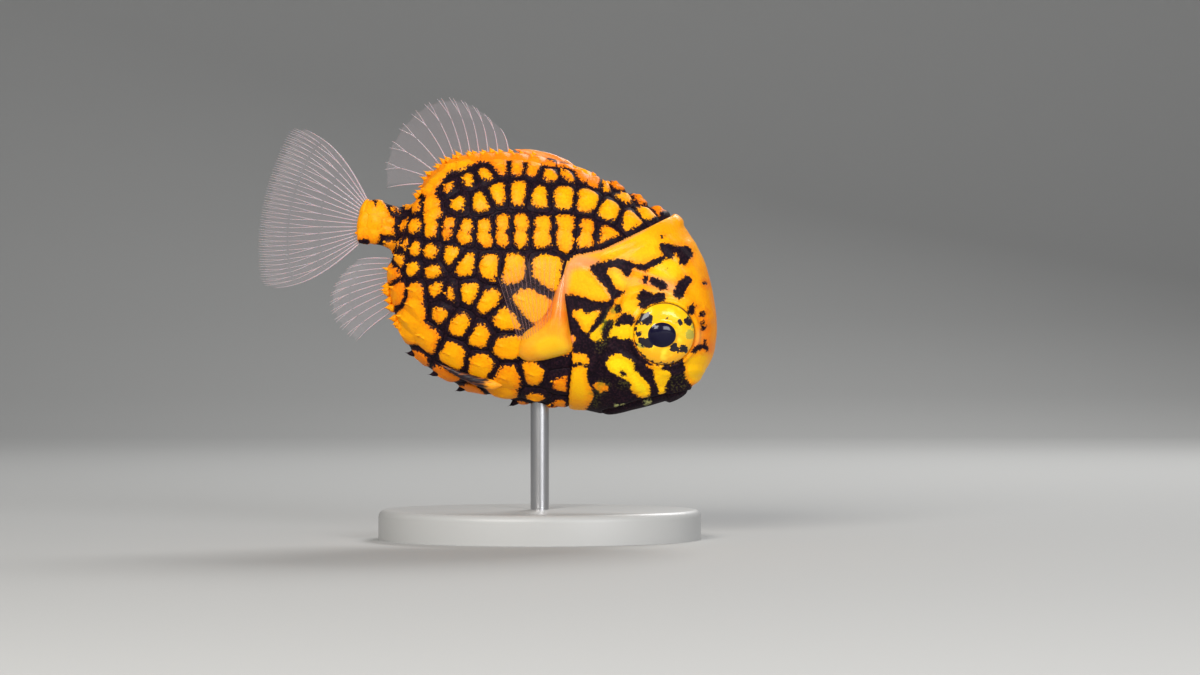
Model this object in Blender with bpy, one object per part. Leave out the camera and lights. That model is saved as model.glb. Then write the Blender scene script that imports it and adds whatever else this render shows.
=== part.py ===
"""A young pinecone fish at life size, held level with its head tipped down, on a plain display stand.

Metres, +Z up. The fish faces +X and its right side faces -Y. The origin is the middle of the
stand's underside. The fish is drawn in its own frame first: "along" runs from the root of the
tail fin to the snout and "up" runs from belly to back, both as shares of the fish's length.
"""

import math
import random

import bmesh
import bpy
from mathutils import Matrix, Vector
from mathutils.bvhtree import BVHTree

# Driving sizes
LENGTH = 0.030            # snout to the root of the tail fin
PITCH = math.radians(16.4)  # how far the head is tipped down
GAP = 0.0003              # clear space between touching nodes
FIN = 0.0005              # thickness of a fin's membrane
FIN_TIP = 0.00034         # at its margin, which it thins to over its outer part
FIN_TAPER_FROM = 0.6
RAY_RIDGE = 0.00010       # how far a fin ray stands above the membrane
STAND_LONG, STAND_WIDE, STAND_THICK = 0.026, 0.019, 0.0024
STAND_EDGE = 0.0005       # radius of its upper edge
ROD_RADIUS = 0.00075
ROD_FORWARD = 0.0145      # rod's place ahead of the tail fin's root, under the centre of mass
ROD_CLEAR = 0.0078        # how much rod shows under the belly

# Stations of the body from tail to snout: back (along, up), belly (along, up), half width
STATIONS = (
    (0.000, 0.068, 0.010, -0.047, 0.021),
    (0.030, 0.078, 0.035, -0.042, 0.030),
    (0.070, 0.076, 0.075, -0.037, 0.035),
    (0.120, 0.086, 0.106, -0.046, 0.042),
    (0.136, 0.138, 0.110, -0.103, 0.064),
    (0.152, 0.188, 0.134, -0.160, 0.086),
    (0.190, 0.236, 0.178, -0.232, 0.116),
    (0.245, 0.268, 0.238, -0.288, 0.143),
    (0.320, 0.294, 0.315, -0.325, 0.166),
    (0.420, 0.311, 0.410, -0.338, 0.182),
    (0.520, 0.310, 0.510, -0.334, 0.190),
    (0.640, 0.291, 0.610, -0.322, 0.190),
    (0.740, 0.264, 0.700, -0.304, 0.184),
    (0.820, 0.248, 0.776, -0.298, 0.174),
    (0.900, 0.184, 0.848, -0.261, 0.160),
    (0.941, 0.128, 0.903, -0.228, 0.138),
    (0.974, 0.066, 0.953, -0.193, 0.108),
    (0.998, 0.006, 0.984, -0.152, 0.072),
    (1.008, -0.044, 1.003, -0.104, 0.032),
)
LAST = len(STATIONS) - 1
FULLNESS = 0.92           # under 1 makes the body's section fuller than an ellipse
BODY_RINGS, BODY_AROUND = 34, 24

# Edges between head, trunk, tail and jaw, as (along, up) in the side view
GILL_EDGE = ((0.880, 0.400), (0.800, 0.236), (0.736, 0.168), (0.665, 0.122), (0.600, 0.074),
             (0.583, 0.002), (0.596, -0.064), (0.632, -0.137), (0.657, -0.213), (0.652, -0.45))
TAIL_EDGE = ((0.140, 0.400), (0.128, 0.150), (0.120, 0.088), (0.106, -0.046), (0.098, -0.110),
             (0.085, -0.450))
MOUTH_LINE = ((1.100, -0.158), (1.010, -0.158), (0.955, -0.176), (0.885, -0.214),
              (0.815, -0.243), (0.765, -0.256), (0.735, -0.275), (0.700, -0.450))

# Eyes and nostrils
EYE = (0.862, -0.054)
EYE_RADIUS, EYE_DEPTH = 0.00262, 0.00095
EYE_SUNK = 0.00048        # the eye's middle under the skin
RIM_RADIUS, RIM_THICK = 0.00284, 0.00032
NOSTRILS = ((0.942, 0.028), (0.956, 0.000))
NOSTRIL_RADIUS, NOSTRIL_DEPTH = 0.00026, 0.0005

# Bones of the head as (how far raised, outline), each outline as (along, up)
HEAD_PLATES = (
    # gill cover
    (0.00020, ((0.597, 0.052), (0.640, 0.066), (0.742, 0.024), (0.738, -0.004),
                             (0.690, -0.008), (0.603, 0.002))),
    # lower gill cover
    (0.00018, ((0.612, -0.020), (0.716, -0.020), (0.680, -0.086),
                                   (0.645, -0.120))),
    # rough ridge behind the cheek
    (0.00034, ((0.770, 0.052), (0.786, 0.030), (0.752, -0.050), (0.722, -0.110),
                             (0.706, -0.112), (0.728, -0.040))),
    # throat
    (0.00022, ((0.654, -0.150), (0.695, -0.150), (0.722, -0.225), (0.716, -0.272),
                               (0.668, -0.272), (0.664, -0.205))),
    # cheek
    (0.00016, ((0.742, -0.130), (0.800, -0.150), (0.858, -0.196), (0.826, -0.222),
                        (0.758, -0.200), (0.732, -0.165))),
    # brow
    (0.00024, ((0.800, 0.062), (0.870, 0.082), (0.925, 0.056), (0.920, 0.040),
                       (0.868, 0.056), (0.806, 0.040))),
    # band from the gill cover to the nape
    (0.00020, ((0.640, 0.106), (0.742, 0.150), (0.815, 0.208), (0.830, 0.192),
                               (0.760, 0.126), (0.652, 0.084))),
    # upper lip
    (0.00016, ((0.976, -0.112), (0.950, -0.134), (0.874, -0.176), (0.878, -0.192),
                            (0.944, -0.152), (0.978, -0.128))),
)
JAW_PLATES = (
    # lower lip
    (0.00014, ((0.950, -0.190), (0.880, -0.226), (0.830, -0.248), (0.836, -0.258),
                            (0.884, -0.240), (0.940, -0.208))),
)

# Rows of scutes, from the shoulder down to the belly and then on the tail: first (along, up),
# last (along, up), bow upwards, count, spine height
SCUTE_ROWS = (
    ((0.207, 0.165), (0.755, 0.242), 0.072, 13, 0.00042),
    ((0.225, 0.118), (0.710, 0.205), 0.046, 10, 0.00042),
    ((0.149, 0.036), (0.645, 0.153), 0.0, 11, 0.00042),
    ((0.164, -0.026), (0.512, 0.022), -0.012, 7, 0.00042),
    ((0.176, -0.067), (0.490, -0.072), -0.034, 7, 0.00042),
    ((0.196, -0.130), (0.590, -0.160), -0.024, 8, 0.00042),
    ((0.212, -0.192), (0.625, -0.225), -0.042, 8, 0.00042),
    ((0.240, -0.250), (0.640, -0.285), -0.045, 8, 0.00046),
    ((0.040, 0.052), (0.104, 0.056), 0.0, 3, 0.00036),
    ((0.028, 0.018), (0.108, 0.020), 0.0, 3, 0.00036),
    ((0.040, -0.016), (0.100, -0.020), 0.0, 3, 0.00036),
)
# Rows beside the mid-line on the back, along the keel and at the anal fin: first and last
# station, degrees round from the back, count, spine height
EDGE_ROWS = (
    (4.55, 12.55, 17.0, 15, 0.00056),
    (6.35, 12.15, 166.0, 9, 0.00066),
    (4.35, 5.75, 152.0, 3, 0.00056),
)
PLATE_RISE = 0.00022      # how far a scute stands above the skin at its shoulders
PLATE_SINK = 0.00030      # how deep its root goes
PLATE_INSET = 0.00020     # width of its sloping rim
EDGE_OF_BODY = 0.0004     # beside the mid-plane, where the side view ends
GROOVE = 0.00008          # half the groove between two scutes
SCUTE_REACH = 0.0018      # the most that a scute reaches from its middle
SHORT_EDGE = 0.00050
FIN_ROOT_CLEAR = 0.00066  # scutes keep this far from the mid-plane beside a fin's root
MIDLINE_CLEAR = 0.00006

# Fins: root lines of the two soft fins by station, first ray to last
SOFT_DORSAL_ROOT, ANAL_ROOT = (8.15, 4.65), (3.55, 5.55)
PECTORAL_ROOT = ((0.612, -0.140), (0.520, -0.178))
PECTORAL_TIP = ((0.568, 0.062), (0.412, -0.024))
PECTORAL_PAD, PECTORAL_PAD_REACH = (0.566, -0.158), (0.062, 0.044)
PECTORAL_OFF, PECTORAL_FLARE = 0.00112, 0.00050
FAN_MIDDLE, FAN_REACH = (0.520, -0.060), (0.130, 0.150)
UNDER_FAN_SPINE = 0.00006
PELVIC_ROOT, PELVIC_TIP = (0.505, -0.296), (0.318, -0.296)
PELVIC_PAD, PELVIC_PAD_REACH = (0.512, -0.290), (0.034, 0.022)
PELVIC_RADIUS = 0.00038
PAD_HEIGHT = 0.0016
PAD_WAIST = 0.35          # share of a pad's half height at which it is widest
POCKET_FLOOR = -0.00005   # a pad's pocket reaches this far under the skin
PELVIC_BOW, PELVIC_CLEAR = 0.00045, 0.0001
DORSAL_SPINES = ((8.95, 0.070), (9.20, 0.100), (9.45, 0.125), (9.70, 0.140), (9.95, 0.140))
DORSAL_SPINE_RADIUS = 0.00032
DORSAL_SPINE_ROOT, DORSAL_SPINE_LIFT = 0.0003, 0.0007   # under the back, and above it at the tip
DORSAL_SPINE_LEAN, DORSAL_SPINE_BOW = 0.0004, 0.0002

WELD = 0.000002           # points closer than this become one after a cut
FLAT_ENOUGH = math.radians(2.0)

COLOURS = {
    "armour": (0.95, 0.47, 0.02, 0.42, 0.0),
    "head": (0.95, 0.50, 0.03, 0.40, 0.0),
    "jaw": (0.05, 0.03, 0.05, 0.35, 0.0),
    "fin": (0.78, 0.66, 0.66, 0.35, 0.0),
    "eye": (0.90, 0.55, 0.03, 0.12, 0.0),
    "stand": (0.72, 0.72, 0.70, 0.45, 0.0),
    "rod": (0.60, 0.60, 0.62, 0.30, 1.0),
}
SLOTS = (("torso", "armour"), ("tail_fin", "fin"), ("tail", "armour"), ("head", "head"),
         ("lower_jaw", "jaw"), ("eye", "eye"), ("stand_base", "stand"), ("stand_rod", "rod"),
         ("pelvic", "armour"), ("", "fin"))
DRAW = random.Random(11)

TURN = Matrix.Rotation(PITCH, 3, "Y")


# Setting up the scene
def clear_scene():
    for obj in list(bpy.data.objects):
        bpy.data.objects.remove(obj)
    for collection in list(bpy.data.collections):
        bpy.data.collections.remove(collection)


def new_collection(name):
    collection = bpy.data.collections.new(name)
    bpy.context.scene.collection.children.link(collection)
    return collection


def material(name):
    red, green, blue, roughness, metallic = COLOURS[name]
    made = bpy.data.materials.new(name)
    made.use_nodes = True
    shader = made.node_tree.nodes["Principled BSDF"]
    shader.inputs["Base Color"].default_value = (red, green, blue, 1.0)
    shader.inputs["Roughness"].default_value = roughness
    shader.inputs["Metallic"].default_value = metallic
    return made


def as_triangles(bm):
    """The closed piece as triangles with their faces pointing out."""
    bmesh.ops.triangulate(bm, faces=bm.faces)
    bm.normal_update()
    bmesh.ops.recalc_face_normals(bm, faces=bm.faces)
    return bm


def object_of(name, bm, collection):
    mesh = bpy.data.meshes.new(name)
    bm.to_mesh(mesh)
    bm.free()
    obj = bpy.data.objects.new(name, mesh)
    collection.objects.link(obj)
    return obj


# The body's form
def between(values, t):
    """A smooth curve through the values, read at t, which counts from one value to the next."""
    t = min(max(t, 0.0), len(values) - 1.0)
    i = min(int(t), len(values) - 2)
    f = t - i
    a, b, c, d = (values[min(max(i + k, 0), len(values) - 1)] for k in (-1, 0, 1, 2))
    return 0.5 * (2 * b + (c - a) * f + (2 * a - 5 * b + 4 * c - d) * f * f
                  + (3 * b - a - 3 * c + d) * f ** 3)


def station(t):
    """Back point, belly point and half width of the body at station t, in metres."""
    back_along, back_up, belly_along, belly_up, half = (
        between([row[k] for row in STATIONS], t) * LENGTH for k in range(5))
    return Vector((back_along, 0, back_up)), Vector((belly_along, 0, belly_up)), half


def skin_point(t, turn):
    """A point of the skin at station t, turned from the back (0) down the right side."""
    back, belly, half = station(t)
    middle = (back + belly) / 2
    up, side = math.cos(turn), math.sin(turn)
    reach = (back - middle) if up > 0 else (middle - belly)
    across = -math.copysign(half * abs(side) ** FULLNESS, side)
    return middle + reach * up + Vector((0, across, 0))


def whole_body():
    """One closed skin from the root of the tail fin to the snout."""
    bm = bmesh.new()
    bmesh.ops.create_grid(bm, x_segments=BODY_AROUND, y_segments=BODY_RINGS, size=1.0)
    for vert in bm.verts:
        turn = (vert.co.x + 1) * math.pi
        t = (vert.co.y + 1) / 2 * LAST
        vert.co = skin_point(t, turn)
    bmesh.ops.remove_doubles(bm, verts=bm.verts, dist=1e-6)
    bmesh.ops.holes_fill(bm, edges=bm.edges, sides=0)
    return as_triangles(bm)


# Cutting and joining
def shifted(edge, shift):
    """An edge of the side view moved sideways, to the right of its run where shift is above 0."""
    line = [Vector((a, 0, u)) * LENGTH for a, u in edge]
    moved = []
    for i, point in enumerate(line):
        run = (line[min(i + 1, len(line) - 1)] - line[max(i - 1, 0)]).normalized()
        moved.append(point + Vector((-run.z, 0, run.x)) * shift)
    return moved


def block(edge, shift, corners, half_width=0.02):
    """A block as wide as the fish and more, between an edge of the side view and far corners."""
    outline = shifted(edge, shift) + [Vector((a, 0, u)) * LENGTH for a, u in corners]
    bm = bmesh.new()
    verts = [bm.verts.new(p - Vector((0, half_width, 0))) for p in outline]
    face = bm.faces.new(verts)
    made = bmesh.ops.extrude_face_region(bm, geom=[face])["geom"]
    moved = [v for v in made if isinstance(v, bmesh.types.BMVert)]
    bmesh.ops.translate(bm, verts=moved, vec=Vector((0, 2 * half_width, 0)))
    return as_triangles(bm)


def ahead_of_gill(shift):
    return block(GILL_EDGE, shift, ((1.3, -0.45), (1.3, 0.40)))


def behind_gill(shift):
    return block(GILL_EDGE, shift, ((-0.3, -0.45), (-0.3, 0.40)))


def ahead_of_tail(shift):
    return block(TAIL_EDGE, shift, ((1.3, -0.45), (1.3, 0.40)))


def behind_tail(shift):
    return block(TAIL_EDGE, shift, ((-0.3, -0.45), (-0.3, 0.40)))


def under_mouth(shift):
    return block(MOUTH_LINE, shift, ((1.100, -0.450),))


def combine(obj, pieces, operation, solver="EXACT"):
    """Joins a collection of closed pieces to obj, or cuts them from it, and removes them."""
    modifier = obj.modifiers.new("combine", "BOOLEAN")
    modifier.operation = operation
    modifier.solver = solver
    modifier.operand_type = "COLLECTION"
    modifier.collection = pieces
    graph = bpy.context.evaluated_depsgraph_get()
    mesh = bpy.data.meshes.new_from_object(obj.evaluated_get(graph))
    obj.modifiers.remove(modifier)
    obj.data = mesh
    for piece in list(pieces.objects):
        bpy.data.objects.remove(piece)
    bpy.data.collections.remove(pieces)


def islands(bm):
    """The mesh's separate closed surfaces, as lists of faces."""
    bm.faces.ensure_lookup_table()
    seen, found = set(), []
    for face in bm.faces:
        if face.index in seen:
            continue
        seen.add(face.index)
        group, edge_of_group = [face], [face]
        while edge_of_group:
            for edge in edge_of_group.pop().edges:
                for other in edge.link_faces:
                    if other.index not in seen:
                        seen.add(other.index)
                        group.append(other)
                        edge_of_group.append(other)
        found.append(group)
    return found


def tidy(obj):
    """Keeps the object's largest closed surface, with its flat stretches merged, as triangles."""
    bm = bmesh.new()
    bm.from_mesh(obj.data)
    scraps = sorted(islands(bm), key=len)[:-1]
    bmesh.ops.delete(bm, geom=[face for scrap in scraps for face in scrap], context="FACES")
    bmesh.ops.remove_doubles(bm, verts=bm.verts, dist=WELD)
    bmesh.ops.dissolve_degenerate(bm, edges=bm.edges, dist=WELD)
    bmesh.ops.dissolve_limit(bm, verts=bm.verts, edges=bm.edges, angle_limit=FLAT_ENOUGH)
    bmesh.ops.triangulate(bm, faces=bm.faces)
    bm.to_mesh(obj.data)
    bm.free()


# Scutes
def side_point(skin, along, up):
    """Where the right side's skin is at (along, up) of the side view, and which way it faces."""
    start = Vector((along * LENGTH, -LENGTH, up * LENGTH))
    place, normal, _, _ = skin.ray_cast(start, Vector((0, 1, 0)))
    if place is None:
        start.y = -EDGE_OF_BODY
        place, normal, _, _ = skin.find_nearest(start)
    return place, normal


def within(place, centre, reach):
    """True inside an upright ellipse of the side view, given by its centre and its two reaches."""
    across = (place.x / LENGTH - centre[0]) / reach[0]
    upward = (place.z / LENGTH - centre[1]) / reach[1]
    return across * across + upward * upward < 1


def scute_sites(skin):
    """All scutes of the right side, as (place, normal, spine height)."""
    sites = []
    for first, last, bow, count, spine in SCUTE_ROWS:
        for i in range(count):
            f = i / (count - 1)
            along = first[0] + (last[0] - first[0]) * f
            up = first[1] + (last[1] - first[1]) * f + bow * 4 * f * (1 - f)
            place, normal = side_point(skin, along, up)
            sites.append((place, normal, spine))
    for first, last, degrees, count, spine in EDGE_ROWS:
        for i in range(count):
            t = first + (last - first) * i / (count - 1)
            place, normal, _, _ = skin.find_nearest(skin_point(t, math.radians(degrees)))
            sites.append((place, normal, spine))
    return sites


def clipped(polygon, normal, offset):
    """The part of a flat polygon where (point . normal) is under offset."""
    kept = []
    for i, point in enumerate(polygon):
        following = polygon[(i + 1) % len(polygon)]
        here, there = point.dot(normal) - offset, following.dot(normal) - offset
        if here <= 0:
            kept.append(point)
        if (here < 0 < there) or (there < 0 < here):
            kept.append(point.lerp(following, here / (here - there)))
    return kept


def without_short_edges(outline):
    merged = []
    for point in outline:
        if not merged or (point - merged[-1]).length > SHORT_EDGE:
            merged.append(point)
    while len(merged) > 3 and (merged[0] - merged[-1]).length < SHORT_EDGE:
        merged.pop()
    return merged


def scute_outline(place, forward, upward, others, mid_clear):
    """The scute's outline in its own plane, half way to each of its neighbours."""
    outline = [Vector((math.cos(a), math.sin(a))) * SCUTE_REACH
               for a in (math.radians(22.5 + 45 * k) for k in range(8))]
    for other in others:
        gap = other - place
        if not 1e-6 < gap.length < 2.4 * SCUTE_REACH:
            continue
        flat = Vector((gap.dot(forward), gap.dot(upward)))
        outline = clipped(outline, flat.normalized(), gap.length / 2 - GROOVE)
        if len(outline) < 3:
            return []
    # It stops short of the mid-plane, where the other side or a fin's root begins.
    toward_mid = -Vector((forward.y, upward.y)) * math.copysign(1, place.y)
    if toward_mid.length > 1e-4:
        room = (abs(place.y) - mid_clear) / toward_mid.length
        outline = clipped(outline, toward_mid.normalized(), room)
    return without_short_edges(outline)


def add_plate(bm, root, shoulder, peak):
    """One closed plate: a loft from its sunk root to its shoulder, and a fan up to its peak."""
    low = [bm.verts.new(p) for p in root]
    high = [bm.verts.new(p) for p in shoulder]
    top = bm.verts.new(peak)
    bm.faces.new(low)
    for i in range(len(low)):
        j = (i + 1) % len(low)
        bm.faces.new((low[i], low[j], high[j], high[i]))
        bm.faces.new((high[i], high[j], top))


def add_scute(bm, skin, site, others, mid_clear):
    """One scute, with its spine pointing to the tail."""
    place, normal, spine = site
    forward = Vector((1, 0, 0))
    forward = (forward - normal * forward.dot(normal)).normalized()
    upward = normal.cross(forward)
    outline = scute_outline(place, forward, upward, others, mid_clear)
    if len(outline) < 3:
        return
    centre = sum(outline, Vector((0, 0))) / len(outline)
    size = sum((p - centre).length for p in outline) / len(outline)
    if size < 2 * PLATE_INSET:
        return

    def on_skin(flat, height):
        found, away, _, _ = skin.find_nearest(place + forward * flat.x + upward * flat.y)
        return found + away * height

    shrink = 1 - PLATE_INSET / size
    root = [on_skin(p, -PLATE_SINK) for p in outline]
    shoulder = [on_skin(centre + (p - centre) * shrink, PLATE_RISE) for p in outline]
    height = PLATE_RISE + spine * DRAW.uniform(0.9, 1.1)
    if within(place, FAN_MIDDLE, FAN_REACH):
        height = PLATE_RISE + UNDER_FAN_SPINE
    add_plate(bm, root, shoulder, on_skin(centre - Vector((0.42 * size, 0)), height))


def mirrored(point):
    return Vector((point.x, -point.y, point.z))


def both_sides(bm):
    """Adds the left side's copy of everything made for the right side."""
    copied = bmesh.ops.duplicate(bm, geom=bm.verts[:] + bm.edges[:] + bm.faces[:])["geom"]
    for vert in copied:
        if isinstance(vert, bmesh.types.BMVert):
            vert.co = mirrored(vert.co)
    return as_triangles(bm)


def beside_fin_root(place):
    """True beside the roots of the soft dorsal fin and the anal fin."""
    back, belly = station(SOFT_DORSAL_ROOT[0] + 0.3)[0], station(ANAL_ROOT[1] + 0.3)[1]
    return place.x < (back.x if place.z > 0 else belly.x)


def scute_armour(skin, wanted):
    """The scutes whose place passes the test, on both sides, as one set of closed plates."""
    right = scute_sites(skin)
    others = [site[0] for site in right] + [mirrored(site[0]) for site in right]
    bm = bmesh.new()
    for site in right:
        if wanted(site[0]):
            clear = FIN_ROOT_CLEAR if beside_fin_root(site[0]) else MIDLINE_CLEAR
            add_scute(bm, skin, site, others, clear)
    return both_sides(bm)


def head_plates(skin, plates):
    """Raised bones of the head, on both sides, from their outlines in the side view."""
    bm = bmesh.new()
    for rise, outline in plates:
        middle = sum((Vector(p) for p in outline), Vector((0, 0))) / len(outline)
        root, shoulder = [], []
        for corner in outline:
            place, normal = side_point(skin, *corner)
            root.append(place - normal * PLATE_SINK)
            inward = middle - Vector(corner)
            inner = Vector(corner) + inward.normalized() * PLATE_INSET * 0.6 / LENGTH
            place, normal = side_point(skin, *inner)
            shoulder.append(place + normal * rise)
        place, normal = side_point(skin, *middle)
        add_plate(bm, root, shoulder, place + normal * rise * 1.3)
    return both_sides(bm)


# Fins in the mid-plane
def fin_surface(rays, rows, place):
    """A fin as one closed vane whose rays are ridges raised on both of its faces.

    place(f, g, side) gives the point at f from the first ray to the last, g from root to tip,
    and side is the offset from the fin's middle surface.
    """
    bm = bmesh.new()
    bmesh.ops.create_grid(bm, x_segments=2 * rays, y_segments=rows, size=1.0)
    bmesh.ops.triangulate(bm, faces=bm.faces)
    made = bmesh.ops.extrude_face_region(bm, geom=bm.faces[:])["geom"]
    raised = {v for v in made if isinstance(v, bmesh.types.BMVert)}
    for vert in bm.verts:
        f, g = (vert.co.x + 1) / 2, (vert.co.y + 1) / 2
        taper = max(0.0, g - FIN_TAPER_FROM) / (1 - FIN_TAPER_FROM)
        half = (FIN + (FIN_TIP - FIN) * taper) / 2
        on_ray = round(f * 2 * rays) % 2
        half += RAY_RIDGE * (1 - 0.75 * g) * on_ray
        vert.co = place(f, g, half if vert in raised else -half)
    return as_triangles(bm)


def median_fin(root_at, length_at, angle_at, rays, rows, curl, wave):
    """A fin in the mid-plane, whose rays fan out from a root line along the body.

    root_at, length_at and angle_at give a ray's root, its length and its direction in the side
    view, in degrees up from ahead, at f from the first ray to the last. curl bends the rays.
    """
    def place(f, g, side):
        angle = math.radians(angle_at(f) + curl * g * g)
        run = Vector((math.cos(angle), 0, math.sin(angle)))
        across = wave * math.sin(math.pi * (2 * f + 0.3)) * g * g
        return root_at(f) + run * length_at(f) * LENGTH * g + Vector((0, across + side, 0))

    return fin_surface(rays, rows, place)


def tail_fin():
    """Fans backwards from the end of the tail, with its margin a little hollow."""
    back, belly, _ = station(0)
    out = Vector((-1, 0, 0.17)) * GAP
    return median_fin(
        lambda f: back.lerp(belly, 0.03 + 0.94 * f) + out,
        lambda f: 0.262 + 0.030 * abs(2 * f - 1) ** 2 + 0.015 * f,
        lambda f: 145.0 + 76.0 * f, 15, 5, 0.0, 0.0006)


def profile_root(edge, first, last):
    """A root line a gap outside the back (edge 0) or the belly (edge 1), between two stations."""
    def root_at(f):
        t = first + (last - first) * f
        here, ahead = station(t)[edge], station(t + 0.05)[edge]
        run = (ahead - here).normalized()
        out = Vector((-run.z, 0, run.x)) * (1 if edge == 0 else -1)
        return here + out * GAP

    return root_at


def soft_dorsal_fin():
    """Stands on the back behind the spines, its rays leaning to the tail."""
    return median_fin(
        profile_root(0, *SOFT_DORSAL_ROOT),
        lambda f: 0.105 + 0.055 * math.sin(math.pi * f ** 0.8),
        lambda f: 124.0 + 78.0 * f ** 2.2, 11, 5, 8.0, 0.0005)


def anal_fin():
    """Leaves the rear of the belly under the tail."""
    return median_fin(
        profile_root(1, *ANAL_ROOT),
        lambda f: 0.085 + 0.045 * f + 0.055 * math.sin(math.pi * f),
        lambda f: 192.0 + 38.0 * f, 10, 5, 6.0, 0.0004)


# Paired fins
def root_pad(skin, centre, reach, low, high):
    """A fleshy pad over an ellipse of the side view, from low to high above the skin."""
    bm = bmesh.new()
    bmesh.ops.create_uvsphere(bm, u_segments=12, v_segments=6, radius=1.0)
    for vert in bm.verts:
        flat = Vector((vert.co.x, vert.co.y))
        place, normal = side_point(skin, centre[0] + flat.x * reach[0],
                                   centre[1] + flat.y * reach[1])
        half = (high - low) / 2
        waist = low + half * PAD_WAIST
        height = waist + max(vert.co.z, -PAD_WAIST) * half
        if vert.co.z > 0:
            height = waist + vert.co.z * (high - waist)
        vert.co = place + normal * height
    return as_triangles(bm)


def pectoral_vane(skin):
    """The fan, laid up along the flank from its fleshy root."""
    def place(f, g, side):
        root = Vector(PECTORAL_ROOT[0]).lerp(Vector(PECTORAL_ROOT[1]), f)
        tip = Vector(PECTORAL_TIP[0]).lerp(Vector(PECTORAL_TIP[1]), f)
        bulge = 0.012 * math.sin(math.pi * f) * g
        flat = root.lerp(tip, g) + Vector((-bulge, bulge))
        found, away = side_point(skin, *flat)
        out = Vector((0, -1, 0)).lerp(away, 0.5).normalized()
        return found + out * (PECTORAL_OFF + PECTORAL_FLARE * g + side)

    return fin_surface(9, 5, place)


def spine_piece(start, tip, width, bow):
    """A round spine that tapers to its tip, with a slight bow."""
    bm = bmesh.new()
    bmesh.ops.create_cone(bm, cap_ends=True, segments=6, radius1=1.0, radius2=0.2, depth=1.0)
    sides = [e for e in bm.edges if abs(e.verts[0].co.z - e.verts[1].co.z) > 0.5]
    bmesh.ops.subdivide_edges(bm, edges=sides, cuts=2)
    run = tip - start
    turn = run.to_track_quat("Z", "Y").to_matrix()
    for vert in bm.verts:
        g = vert.co.z + 0.5
        around = turn @ Vector((vert.co.x, vert.co.y, 0)) * width
        vert.co = start + run * g + around + bow * 4 * g * (1 - g)
    return as_triangles(bm)


def pelvic_spine(skin, width):
    """The long pelvic spine, folded back along the belly."""
    (root, root_out), (tip, tip_out) = (side_point(skin, *p) for p in (PELVIC_ROOT, PELVIC_TIP))
    lift = GAP + PELVIC_RADIUS + PELVIC_CLEAR
    bow = (root_out + tip_out).normalized() * PELVIC_BOW
    return spine_piece(root + root_out * lift, tip + tip_out * lift, width, bow)


def dorsal_spines(collection):
    """Stout spines folded back on the ridge of the back, leaning left and right in turn."""
    for k, (t, length) in enumerate(DORSAL_SPINES):
        back, rear = station(t)[0], station(t - 1)[0]
        slope = (rear - back).normalized()
        out = Vector((slope.z, 0, -slope.x))
        lean = Vector((0, DORSAL_SPINE_LEAN if k % 2 else -DORSAL_SPINE_LEAN, 0))
        start = back - out * DORSAL_SPINE_ROOT + lean * 0.5
        tip = back + slope * length * LENGTH + out * DORSAL_SPINE_LIFT + lean * 2
        piece = spine_piece(start, tip, DORSAL_SPINE_RADIUS, out * DORSAL_SPINE_BOW)
        object_of(f"dorsal_spine_{k}", piece, collection)


# Eyes and openings of the head
def eye_frame(skin):
    """The right eye's middle and its axes, with the third one pointing out of the head."""
    place, normal = side_point(skin, *EYE)
    turn = normal.to_track_quat("Z", "Y").to_matrix()
    return place - normal * EYE_SUNK, turn


def eyeball(skin, grown=0.0):
    middle, turn = eye_frame(skin)
    bm = bmesh.new()
    bmesh.ops.create_uvsphere(bm, u_segments=18, v_segments=9, radius=1.0)
    reach = Vector((EYE_RADIUS + grown, EYE_RADIUS + grown, EYE_DEPTH + grown))
    for vert in bm.verts:
        vert.co = middle + turn @ (vert.co * reach)
    return as_triangles(bm)


def eye_rim(skin):
    """The raised bony rim round the eye, lying on the head."""
    middle, turn = eye_frame(skin)
    bm = bmesh.new()
    bmesh.ops.create_circle(bm, segments=5, radius=RIM_THICK)
    for vert in bm.verts:
        vert.co = Vector((RIM_RADIUS + vert.co.x, 0, EYE_SUNK * 0.55 + vert.co.y))
    bmesh.ops.spin(bm, geom=bm.verts[:] + bm.edges[:], axis=(0, 0, 1), cent=(0, 0, 0),
                   angle=2 * math.pi, steps=18, use_merge=True)
    for vert in bm.verts:
        vert.co = middle + turn @ vert.co
    return as_triangles(bm)


def nostril_cutters(skin, collection):
    for k, (along, up) in enumerate(NOSTRILS):
        place, normal = side_point(skin, along, up)
        bm = bmesh.new()
        bmesh.ops.create_cone(bm, cap_ends=True, segments=10, radius1=NOSTRIL_RADIUS,
                              radius2=NOSTRIL_RADIUS, depth=2 * NOSTRIL_DEPTH)
        turn = normal.to_track_quat("Z", "Y").to_matrix().to_4x4()
        bmesh.ops.transform(bm, matrix=Matrix.Translation(place) @ turn, verts=bm.verts)
        object_of(f"nostril_{k}", both_sides(bm), collection)


# The stand
def stand_base(rod_at):
    """A flat oval with a rounded upper edge, with its middle under the rod."""
    bm = bmesh.new()
    bmesh.ops.create_cone(bm, cap_ends=True, segments=36, radius1=1.0, radius2=1.0, depth=1.0)
    scale = Vector((STAND_LONG / 2, STAND_WIDE / 2, STAND_THICK))
    bmesh.ops.scale(bm, vec=scale, verts=bm.verts)
    bmesh.ops.translate(bm, vec=(rod_at, 0, STAND_THICK / 2), verts=bm.verts)
    top = [e for e in bm.edges if min(v.co.z for v in e.verts) > STAND_THICK * 0.9]
    bmesh.ops.bevel(bm, geom=top, offset=STAND_EDGE, segments=2, profile=0.5, affect="EDGES",
                    material=-1)
    return as_triangles(bm)


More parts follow.
